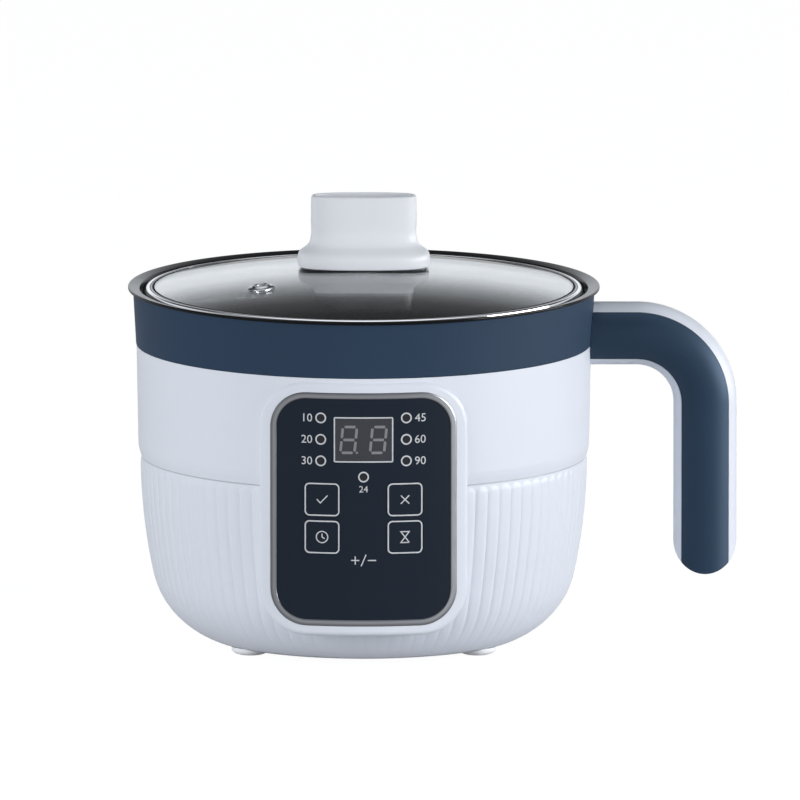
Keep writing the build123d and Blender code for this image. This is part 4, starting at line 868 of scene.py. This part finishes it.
class MULTICOOKER_OT_knob(bpy.types.Operator):
    """Makes the lid's oval knob with its flared base and dished top"""

    bl_idname = "multicooker.knob"
    bl_label = "Lid knob"

    def execute(self, context):
        lid = context.scene.cooker_lid
        tall, wide = knob_high.z - knob_low.z, knob_high.x - knob_low.x
        deep = knob_high.y - knob_low.y
        shares = np.array(KNOB_SHARES)
        # Rows of (height, half width, half depth): the base's middle, the outer face through the shares
        # above, a quarter circle to the land, another down into the dish, and the dish's middle.
        rise = np.linspace(0, 1 - lid.knob_round / tall, 60)
        half_wide = smooth_curve(rise, shares[:, 0], shares[:, 1]) * wide / 2
        half_deep = smooth_curve(rise, shares[:, 0], shares[:, 2]) * deep / 2
        side = np.stack([rise * tall, half_wide, half_deep], axis=-1)
        edge = arc((-lid.knob_round, tall - lid.knob_round), (lid.knob_round, lid.knob_round), 8, 90, 9)
        inner = -lid.knob_round - lid.dish_land
        brim = arc((inner, tall - lid.dish_round), (lid.dish_round,) * 2, 90, 180, 8)
        wall, bowl = inner - lid.dish_round, lid.dish_depth - lid.dish_round
        sunk = arc((wall - lid.dish_slope, tall - lid.dish_round), (lid.dish_slope, bowl), -4, -90, 14)
        lip = np.concatenate([edge, brim, sunk])
        top = np.stack([lip[:, 1], half_wide[-1] + lip[:, 0], half_deep[-1] + lip[:, 0]], axis=-1)
        floor = top[-1] * (1, 0, 0)
        rows = np.concatenate([[(0, 0, 0)], side, top, [floor]])
        turn = np.linspace(0, 2 * np.pi, 160, endpoint=False)
        exponent = 2 / lid.knob_power
        oval_x = np.sign(np.cos(turn)) * np.abs(np.cos(turn)) ** exponent
        oval_y = np.sign(np.sin(turn)) * np.abs(np.sin(turn)) ** exponent
        x = (knob_low.x + knob_high.x) / 2 + rows[:, 1:2] * oval_x
        y = (knob_low.y + knob_high.y) / 2 + rows[:, 2:3] * oval_y
        z = np.broadcast_to(knob_low.z - lid.knob_sink + rows[:, :1], x.shape)
        points = np.stack([x, y, z], axis=-1)
        knob = new_piece("knob", points, grid_faces(len(rows), len(turn)), sharp=60)
        settle(knob, FINISHES["knob_plastic"], "lid", "white_plastic", "lid_knob")
        return {"FINISHED"}


# The rim outside its band: shares of the band's width, outwards below zero, and how bright it is there; the
# dim upright side is painted shade for the gap round the rim
RIM_EDGE = ((-1.1, 0.4), (-0.85, 1.0), (-0.04, 1.0))

# The band inside the rim's bead: shares of its width, height in sheets, and how bright its folds are, as
# painted shade that turns them matt black
RIM_BAND = (
    (0.08, 0.2, 0.08),
    (0.2, 0.3, 0.5),
    (0.4, 0.5, 0.6),
    (0.55, 0.25, 0.06),
    (0.9, 0.15, 0.04),
    (1.0, 0.12, 0.04),
)

# Section of the steam eyelet: millimetres from its middle and over the glass
EYELET_SECTION = (
    (2.3, -4.6), (2.3, 0.8), (2.5, 1.2), (3.0, 1.45), (3.6, 1.45), (4.1, 1.2), (4.35, 0.85), (4.6, 0.7),
    (5.4, 0.65), (5.95, 0.5), (6.2, 0.3), (6.2, 0.06), (4.0, 0.06), (4.0, -3.6), (5.4, -3.62), (5.4, -4.6),
)


class MULTICOOKER_OT_lid_metal(bpy.types.Operator):
    """Makes the lid's folded metal rim and its rolled steam eyelet"""

    bl_idname = "multicooker.lid_metal"
    bl_label = "Lid rim and eyelet"

    def execute(self, context):
        lid = context.scene.cooker_lid
        outer, low, sheet = (rim_high.x - rim_low.x) / 2, rim_low.z, lid.rim_sheet
        dome_middle = glass_high.z - lid.dome_radius

        def over_glass(radius, lift):
            """Points on the dome at these radii, lifted off it."""
            return np.stack([radius, dome_middle + np.sqrt(lid.dome_radius**2 - radius**2) + lift], axis=-1)

        # Channel round the glass: a lower lip, an upright side, a half round bead, and inside it a band on
        # the glass with a low fold at each edge. The way back runs just over the glass and down inside the
        # upright side.
        across = np.linspace(0, np.pi, 17)
        bead_out = outer - lid.bead_inset
        bead_way = bead_out - lid.bead_width * (1 - np.cos(across)) / 2
        bead = over_glass(bead_way, np.sin(across) * lid.bead_height + sheet / 5)
        share, lift, bright = np.array(RIM_BAND).T
        band = over_glass(bead[-1, 0] - share * lid.band_width, lift * sheet)
        under = over_glass(np.array([band[-1, 0], bead_out - sheet]), sheet / 25)
        inner, side = outer - lid.rim_width, outer - sheet
        upright = [(inner, low + sheet), (inner, low), (outer, low), (outer, low + lid.rim_shoulder)]
        back = [(side, low + lid.rim_shoulder), (side, low + sheet)]
        channel = np.concatenate([upright, bead, band, under, back])
        rim = turned(channel, (AXIS_X, 0, 0), 256)
        rim_piece = new_piece("rolled_rim", rim, grid_faces(len(channel), 256, wrap_rows=True))
        # Painted shade: the rim's upright side and the folds of its band are dimmed to matt black.
        x, y, _ = vertex_places(rim_piece.data)
        inset = (bead[-1, 0] - np.hypot(x - AXIS_X, y)) / lid.band_width
        edge, edge_bright = np.array(RIM_EDGE).T
        write_shade(rim_piece.data, np.interp(inset, (*edge, *share), (*edge_bright, *bright)))
        settle(rim_piece, FINISHES["rim_steel"], "lid", "steel", "lid_rim")
        self.make_eyelet(lid, dome_middle)
        return {"FINISHED"}

    def make_eyelet(self, lid, dome_middle):
        """Rolled eyelet: its closed section turned about the dome's normal there."""
        profile = MM * np.array(EYELET_SECTION)
        ring = np.array([np.cos(lid.eyelet_turn), np.sin(lid.eyelet_turn), 0]) * lid.eyelet_ring
        normal = ring + (0, 0, np.sqrt(lid.dome_radius**2 - lid.eyelet_ring**2))
        place = np.array([AXIS_X, 0, dome_middle]) + normal
        normal = normal / np.linalg.norm(normal)
        across = np.cross(normal, (0, 1, 0))
        across /= np.linalg.norm(across)
        basis = np.stack([across, np.cross(normal, across), normal])
        local = turned(profile, (0, 0, 0), 96)
        points = local @ basis + place
        eyelet = new_piece("steam_eyelet", points, grid_faces(len(profile), 96, wrap_rows=True), sharp=50)
        settle(eyelet, FINISHES["dark_steel"], "lid", "steel", "vent_eyelet")


class MULTICOOKER_OT_feet(bpy.types.Operator):
    """Makes the four round feet"""

    bl_idname = "multicooker.feet"
    bl_label = "Feet"

    def execute(self, context):
        foot = context.scene.cooker_body
        top, reach = housing_low.z + foot.foot_sink, foot.foot_radius
        # Profile of (radius, height): upright at the top, then a quarter ellipse down to the flat sole.
        curve = foot.foot_bend * top
        bend = arc((reach - foot.foot_round, curve), (foot.foot_round, curve), 0, -90, 12)
        profile = np.concatenate([[(0, top), (reach, top)], bend, [(0, 0)]])
        out_x, out_y = (feet_high.x - feet_low.x) / 2 - reach, (feet_high.y - feet_low.y) / 2 - reach
        quads = grid_faces(len(profile), 48)
        shapes = [
            (turned(profile, (AXIS_X + x * out_x, y * out_y, 0), 48).reshape(-1, 3), quads)
            for x in (-1, 1)
            for y in (-1, 1)
        ]
        feet = new_piece("button_feet", *joined(shapes), sharp=50)
        settle(feet, FINISHES["white_feet"], "cooker", "white_feet", "feet")
        return {"FINISHED"}


# The trim's face from its outer to its inner edge: share of its width, and millimetres behind its front
TRIM_FACE = (
    (0.0, 0.22), (0.1, 0.04), (0.2, 0.0), (0.5, 0.02), (0.64, 0.02), (0.7, 0.03), (0.86, 0.1), (0.95, 0.3),
    (1.0, 0.55),
)

# Painted shade on the trim: how bright it is, by the same share of its width, darker at its outer and inner
# edges for the shade in the gaps beside them
TRIM_SHADE = ((0.3, 0.62), (0.42, 1.0), (0.8, 1.0), (0.95, 0.3))


class MULTICOOKER_OT_trim(bpy.types.Operator):
    """Makes the panel's silver trim"""

    bl_idname = "multicooker.trim"
    bl_label = "Panel trim"

    def execute(self, context):
        panel = context.scene.cooker_panel
        back = -plate_low.y - panel.trim_depth
        # Section as (inset from the outer edge, radius): the face with a straight side at either edge.
        share, drop = np.array(TRIM_FACE).T
        face = np.stack([share, -trim_low.y - MM * drop], axis=-1)
        section = np.concatenate([[(0, back)], face, [(1, back)]]) * (panel.trim_width, 1)
        sides, middle = front_size(trim_low, trim_high), front_middle(trim_low, trim_high)
        outline, outward = rounded_outline(*sides, panel.trim_corner, middle)
        flat = outline[:, None, :] - outward[:, None, :] * section[None, :, :1]
        points = on_panel(flat, np.broadcast_to(section[:, 1], flat.shape[:2]))
        quads = grid_faces(len(outline), len(section), wrap_rows=True)
        trim = new_piece("silver_trim", points, quads, sharp=35)
        # Painted shade: the trim is dimmed along its outer and inner edges, for the shade in the gaps beside
        # it.
        x, _, z = vertex_places(trim.data)
        inset = inside_outline(x, z, trim_low, trim_high, 0, panel.trim_corner) / panel.trim_width
        write_shade(trim.data, np.interp(inset, *np.array(TRIM_SHADE).T))
        settle(trim, FINISHES["silver_trim"], "cooker", "silver_trim", "panel_trim")
        return {"FINISHED"}


def printed_number(text, height, side, place, radius, sheet):
    """Plain number as a flat slab on the panel, in points and triangles.

    It starts (side 1), ends (side -1) or has its middle (side 0) at the place."""
    curve = bpy.data.curves.new("number", "FONT")
    curve.body = text
    curve.align_x, curve.align_y = "CENTER", "CENTER"
    curve.size = 1
    curve.extrude = 0.5
    curve.resolution_u = 4
    holder = bpy.data.objects.new("number", curve)
    mesh = bpy.data.meshes.new_from_object(holder)
    flat = vertex_places(mesh).T
    span = flat[:, :2].max(axis=0) - flat[:, :2].min(axis=0)
    centre = (flat[:, :2].max(axis=0) + flat[:, :2].min(axis=0)) / 2
    start = np.array([side * span[0] / 2, 0])
    scaled = (flat[:, :2] - centre + start) * height / span[1] + place
    points = on_panel(scaled, radius + (flat[:, 2] + 0.5) * sheet)
    mesh.calc_loop_triangles()
    triangles = np.empty(3 * len(mesh.loop_triangles), int)
    mesh.loop_triangles.foreach_get("vertices", triangles)
    bpy.data.objects.remove(holder)
    bpy.data.curves.remove(curve)
    bpy.data.meshes.remove(mesh)
    return points, triangles.reshape(-1, 3)


def lamp_places(radius):
    """Middles of the lamps in the front view, from the box of their lenses and a lens's radius."""
    lens_low, lens_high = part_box("indicator_lenses")
    side = (lens_high.x - lens_low.x) / 2 - radius
    middle = front_middle(window_low, window_high)[1]
    pitch = lens_high.z - radius - middle
    rows = [(way * side, middle + row * pitch) for way in (-1, 1) for row in (1, 0, -1)]
    return rows + [(0, lens_low.z + radius)]


class MULTICOOKER_OT_panel_print(bpy.types.Operator):
    """Prints the lamp rings, the display's frame and the plain numbers on the panel"""

    bl_idname = "multicooker.panel_print"
    bl_label = "Panel print"

    def execute(self, context):
        panel = context.scene.cooker_panel
        radius, sheet = -plate_low.y + panel.print_lift, panel.print_sheet
        turn = np.linspace(0, 2 * np.pi, 48, endpoint=False)
        ring = panel.lamp_ring * np.stack([np.cos(turn), np.sin(turn)], axis=-1)
        lines = [
            stroke(ring + place, panel.lamp_stroke, radius, sheet, closed=True)
            for place in lamp_places(panel.lamp_radius)
        ]
        sides = front_size(window_low, window_high, -panel.frame_inset)
        middle = front_middle(window_low, window_high)
        outline, _ = rounded_outline(*sides, panel.frame_corner, middle, steps=5)
        lines.append(stroke(outline, panel.frame_stroke, radius, sheet, closed=True))
        lines += self.plus_minus(panel, radius, sheet)
        rings = new_piece("panel_lines", *joined(lines), sharp=60)
        settle(rings, FINISHES["ink"], "cooker", "white_feet")
        self.numbers(panel, radius, sheet)
        return {"FINISHED"}

    def plus_minus(self, panel, radius, sheet):
        """A plus, a slash and a minus below the keys."""
        place = np.array([0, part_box("key_lower_left")[0].z - panel.sign_drop])
        arm, apart = panel.sign_arm, 2 * panel.sign_arm
        marks = [
            [(-apart - arm, 0), (-apart + arm, 0)],
            [(-apart, -arm), (-apart, arm)],
            [(-arm * 0.6, -arm * 1.4), (arm * 0.6, arm * 1.4)],
            [(apart - arm, 0), (apart + arm, 0)],
        ]
        lifts = (0, sheet * 0.4, 0, 0)
        return [
            stroke(dense(np.array(mark) + place), panel.mark_stroke, radius + lift, sheet)
            for mark, lift in zip(marks, lifts)
        ]

    def numbers(self, panel, radius, sheet):
        """Plain numbers beside the lamps, outside on the left and right, and under the middle lamp."""
        shapes = []
        for label, (across, height) in zip(LAMP_NUMBERS, lamp_places(panel.lamp_radius)):
            side = np.sign(across)
            drop, share = (0, 1) if side else (panel.number_drop, panel.number_share)
            place = (across + side * panel.number_gap, height - drop)
            shapes.append(printed_number(label, panel.number_height * share, side, place, radius, sheet))
        numbers = new_piece("panel_numbers", *joined(shapes), sharp=60)
        settle(numbers, FINISHES["ink"], "cooker", "white_feet")


class MULTICOOKER_OT_display(bpy.types.Operator):
    """Makes the unlit segments of the two-digit display"""

    bl_idname = "multicooker.display"
    bl_label = "Display digits"

    def execute(self, context):
        panel = context.scene.cooker_panel
        radius, sheet = -window_low.y + panel.print_lift, panel.print_sheet
        middle = front_middle(window_low, window_high)
        wide = (panel.digit_breadth - panel.segment_stroke) / 2
        tall = (panel.digit_height - panel.segment_stroke) / 2
        corners = [(-wide, tall), (wide, tall), (wide, 0), (wide, -tall), (-wide, -tall), (-wide, 0)]
        runs = [(0, 1), (1, 2), (2, 3), (3, 4), (4, 5), (5, 0), (5, 2)]
        gap = panel.segment_stroke * 0.55
        segments = []
        places = [middle + (digit * panel.digit_pitch / 2, 0) for digit in (-1, 1)]
        for place in places:
            for first, last in runs:
                ends = np.array([corners[first], corners[last]])
                along = (ends[1] - ends[0]) / np.linalg.norm(ends[1] - ends[0])
                path = dense([ends[0] + along * gap, ends[1] - along * gap], panel.segment_stroke / 2.4)
                segments.append(self.segment(path, panel, place, radius, sheet))
        across, foot = wide + panel.point_gap, -tall - panel.segment_stroke / 3
        point = dense([(across, foot), (across, foot + panel.point_height)], panel.point_height / 3)
        segments.append(self.segment(point, panel, places[0], radius, sheet))
        digits = new_piece("display_segments", *joined(segments), sharp=60)
        settle(digits, FINISHES["segment"], "cooker", "display_lens")
        return {"FINISHED"}

    def segment(self, path, panel, place, radius, sheet):
        """One bar, narrower at its two ends, leaning with the digit."""
        along = np.linspace(0, 1, len(path))
        width = panel.segment_stroke * np.clip(0.3 + 8 * np.minimum(along, 1 - along), 0.3, 1)
        lean = np.stack([path[:, 0] + panel.digit_slant * path[:, 1], path[:, 1]], axis=-1)
        return stroke(lean + place, width, radius, sheet)


class MULTICOOKER_OT_key_marks(bpy.types.Operator):
    """Prints an outline and a symbol on each key"""

    bl_idname = "multicooker.key_marks"
    bl_label = "Key marks"

    def execute(self, context):
        panel = context.scene.cooker_panel
        for key, symbol in zip(KEYS, (self.tick, self.cross, self.clock, self.hourglass)):
            low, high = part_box(key)
            middle = front_middle(low, high)
            breadth, length = front_size(low, high, -panel.key_lip)
            face = np.hypot(low.y, abs(middle[0]) - breadth / 2) + panel.print_lift
            inset = panel.key_stroke / 2 + panel.key_margin
            outline, _ = rounded_outline(
                breadth - 2 * inset, length - 2 * inset, panel.key_corner - inset, middle, steps=8, runs=14
            )
            lines = [stroke(outline, panel.key_stroke, face, panel.print_sheet, closed=True)]
            for order, (path, closed) in enumerate(symbol()):
                path = np.array(path) if closed else dense(path)
                lifted = face + order * panel.print_sheet * 0.4
                lines.append(stroke(path + middle, panel.mark_stroke, lifted, panel.print_sheet, closed))
            marks = new_piece(f"{key}_marks", *joined(lines), sharp=60)
            settle(marks, FINISHES["ink"], key, "white_feet")
        return {"FINISHED"}

    def tick(self):
        """A tick."""
        return [([(-0.0024, 0.0001), (-0.0008, -0.0016), (0.0025, 0.0019)], False)]

    def cross(self):
        """A diagonal cross."""
        reach = 0.0019
        return [([(-reach, -reach), (reach, reach)], False), ([(-reach, reach), (reach, -reach)], False)]

    def clock(self):
        """A circle with two hands."""
        turn = np.linspace(0, 2 * np.pi, 40, endpoint=False)
        face = 0.0026 * np.stack([np.cos(turn), np.sin(turn)], axis=-1)
        return [(face, True), ([(0, 0.0016), (0, 0), (0.0012, -0.0007)], False)]

    def hourglass(self):
        """Two triangles, point to point."""
        wide, tall = 0.0019, 0.0025
        return [([(wide, -tall), (-wide, -tall), (wide, tall), (-wide, tall), (wide, -tall)], False)]


def shader_tree(owner):
    """Empty node tree of a material or a world."""
    owner.use_nodes = True
    owner.node_tree.nodes.clear()
    return owner.node_tree


def ray_kinds(tree):
    """Two masks: rays seen directly, and rays that a surface mirrors or glass lets through."""
    path = tree.nodes.new("ShaderNodeLightPath")
    mirrored = reckon(tree, "MAXIMUM", path.outputs["Is Glossy Ray"], path.outputs["Is Transmission Ray"])
    return path.outputs["Is Camera Ray"], mirrored


def ramp_of(tree, share, stops):
    """Grey colour ramp over a share, from (place, level) stops, a little blue."""
    node = tree.nodes.new("ShaderNodeValToRGB")
    tree.links.new(share, node.inputs["Fac"])
    elements = node.color_ramp.elements
    elements.remove(elements[1])
    for order, (place, level) in enumerate(stops):
        element = elements[0] if order == 0 else elements.new(place)
        element.position, element.color = place, (0.92 * level, 0.96 * level, 1.01 * level, 1)
    return node.outputs["Color"]


# How bright the room is for mirrored rays, by the height of their direction
ROOM_LEVELS = (
    (0.0, 0.8), (0.06, 0.85), (0.12, 1.17), (0.21, 1.27), (0.27, 1.0), (0.33, 0.62), (0.39, 0.3),
    (0.43, 0.17), (0.5, 0.09), (0.7, 0.12), (0.85, 1.2), (1.0, 2.0),
)


# Lamps: place, and breadth and height
LAMPS = {
    "key_lamp": ((2.3, -1.02, 0.55), (1.0, 1.0)),
    "fill_lamp": ((-1.9, -1.5, 0.5), (1.4, 0.9)),
    "gloss_lamp": ((2.5, 0.1, 0.6), (2.0, 1.1)),
}


class MULTICOOKER_OT_stage(bpy.types.Operator):
    """Sets up the floor, the surroundings, the lamps and the camera"""

    bl_idname = "multicooker.stage"
    bl_label = "Studio"

    def execute(self, context):
        stage = context.scene.cooker_stage
        context.scene.view_settings.view_transform = "Standard"
        self.make_floor(stage)
        self.make_world(context.scene, stage)
        target = Vector(stage.target)
        self.add_lamp("key_lamp", target, stage.key_power)
        self.add_lamp("fill_lamp", target, stage.fill_power).visible_glossy = False
        self.add_lamp("gloss_lamp", target, stage.gloss_power).visible_diffuse = False
        self.add_camera(context.scene, stage, target)
        return {"FINISHED"}

    def make_floor(self, stage):
        """White floor: partly lit, so that it keeps a soft shadow, and partly bright where it is seen."""
        reach = stage.floor_reach
        points = [(-reach, -reach, 0), (reach, -reach, 0), (reach, reach, 0), (-reach, reach, 0)]
        floor = new_piece("floor", np.array(points), np.array([[0, 1, 2, 3]]), closed=False)
        material = bpy.data.materials.new("studio_floor")
        tree = shader_tree(material)
        lit = tree.nodes.new("ShaderNodeBsdfDiffuse")
        lit.inputs["Color"].default_value = (*stage.floor_colour, 1)
        glow = tree.nodes.new("ShaderNodeEmission")
        blend = tree.nodes.new("ShaderNodeMixShader")
        out = tree.nodes.new("ShaderNodeOutputMaterial")
        direct, mirrored = ray_kinds(tree)
        in_mirror = reckon(tree, "MULTIPLY", mirrored, stage.floor_mirrored)
        share = reckon(tree, "MULTIPLY_ADD", direct, stage.floor_glow, in_mirror)
        tree.links.new(share, blend.inputs["Fac"])
        tree.links.new(lit.outputs["BSDF"], blend.inputs[1])
        tree.links.new(glow.outputs["Emission"], blend.inputs[2])
        tree.links.new(blend.outputs["Shader"], out.inputs["Surface"])
        glow.inputs["Strength"].default_value = stage.floor_strength
        floor.data.materials.append(material)

    def make_world(self, scene, stage):
        """Surroundings: white where seen, a dim room where mirrored, and a soft light from low all round."""
        world = bpy.data.worlds.new("studio")
        scene.world = world
        tree = shader_tree(world)
        place = tree.nodes.new("ShaderNodeTexCoord")
        parts = tree.nodes.new("ShaderNodeSeparateXYZ")
        tree.links.new(place.outputs["Generated"], parts.inputs["Vector"])
        height = parts.outputs["Z"]
        room = ramp_of(tree, height, ROOM_LEVELS)
        soft = ramp_of(tree, height, ((0, 1.0), (1, 0.1)))
        direct, mirrored = ray_kinds(tree)
        out = tree.nodes.new("ShaderNodeOutputWorld")
        surroundings = tree.nodes.new("ShaderNodeBackground")
        lit = mixed(tree, mirrored, soft, room)
        tree.links.new(mixed(tree, direct, lit, (1, 1, 1, 1)), surroundings.inputs["Color"])
        seen = reckon(tree, "MAXIMUM", direct, mirrored)
        strength = reckon(tree, "MULTIPLY_ADD", seen, 1 - stage.ambient, stage.ambient)
        tree.links.new(strength, surroundings.inputs["Strength"])
        tree.links.new(surroundings.outputs["Background"], out.inputs["Surface"])

    def add_lamp(self, name, target, watts):
        """Soft lamp from the list of lamps, aimed at the target."""
        place, sides = LAMPS[name]
        light = bpy.data.lights.new(name, "AREA")
        light.energy = watts
        light.shape = "RECTANGLE"
        light.size, light.size_y = sides
        lamp = bpy.data.objects.new(name, light)
        lamp.location = place
        lamp.rotation_euler = (target - Vector(place)).to_track_quat("-Z", "Y").to_euler()
        bpy.context.scene.collection.objects.link(lamp)
        return lamp

    def add_camera(self, scene, stage, target):
        """Camera in front, a little above the lid."""
        camera = bpy.data.objects.new("camera", bpy.data.cameras.new("camera"))
        camera.data.lens = stage.lens
        camera.data.clip_end = 100
        back = Vector((0, -np.cos(stage.elevation), np.sin(stage.elevation)))
        camera.location = target + back * stage.distance
        camera.rotation_euler = (-back).to_track_quat("-Z", "Y").to_euler()
        scene.collection.objects.link(camera)
        scene.camera = camera


class MULTICOOKER_PT_panel(bpy.types.Panel):
    """Lists the multicooker's pieces and settings"""

    bl_idname = "MULTICOOKER_PT_panel"
    bl_label = "Multicooker"
    bl_space_type = "VIEW_3D"
    bl_region_type = "UI"
    bl_category = "Multicooker"

    def draw(self, context):
        for operator in OPERATORS:
            self.layout.operator(operator.bl_idname)
        for group in SETTINGS:
            settings = getattr(context.scene, group)
            box = self.layout.box()
            for name in settings.__annotations__:
                box.prop(settings, name)


SETTINGS = {
    "cooker_body": BodySizes,
    "cooker_pot": PotSizes,
    "cooker_lid": LidSizes,
    "cooker_panel": PanelSizes,
    "cooker_colours": FinishColours,
    "cooker_stage": StageSettings,
}
OPERATORS = (
    MULTICOOKER_OT_solids,
    MULTICOOKER_OT_skirt,
    MULTICOOKER_OT_pot,
    MULTICOOKER_OT_knob,
    MULTICOOKER_OT_lid_metal,
    MULTICOOKER_OT_feet,
    MULTICOOKER_OT_trim,
    MULTICOOKER_OT_panel_print,
    MULTICOOKER_OT_display,
    MULTICOOKER_OT_key_marks,
    MULTICOOKER_OT_stage,
)


def register():
    """Adds the settings, the operators and the sidebar panel."""
    for cls in (*SETTINGS.values(), *OPERATORS, MULTICOOKER_PT_panel):
        bpy.utils.register_class(cls)
    for name, group in SETTINGS.items():
        setattr(bpy.types.Scene, name, PointerProperty(type=group))


def unregister():
    """Takes them away again."""
    for name in SETTINGS:
        delattr(bpy.types.Scene, name)
    for cls in reversed((*SETTINGS.values(), *OPERATORS, MULTICOOKER_PT_panel)):
        bpy.utils.unregister_class(cls)


def main():
    """Builds everything in order."""
    register()
    for operator in OPERATORS:
        family, name = operator.bl_idname.split(".")
        getattr(getattr(bpy.ops, family), name)()


if __name__ == "__main__":
    main()
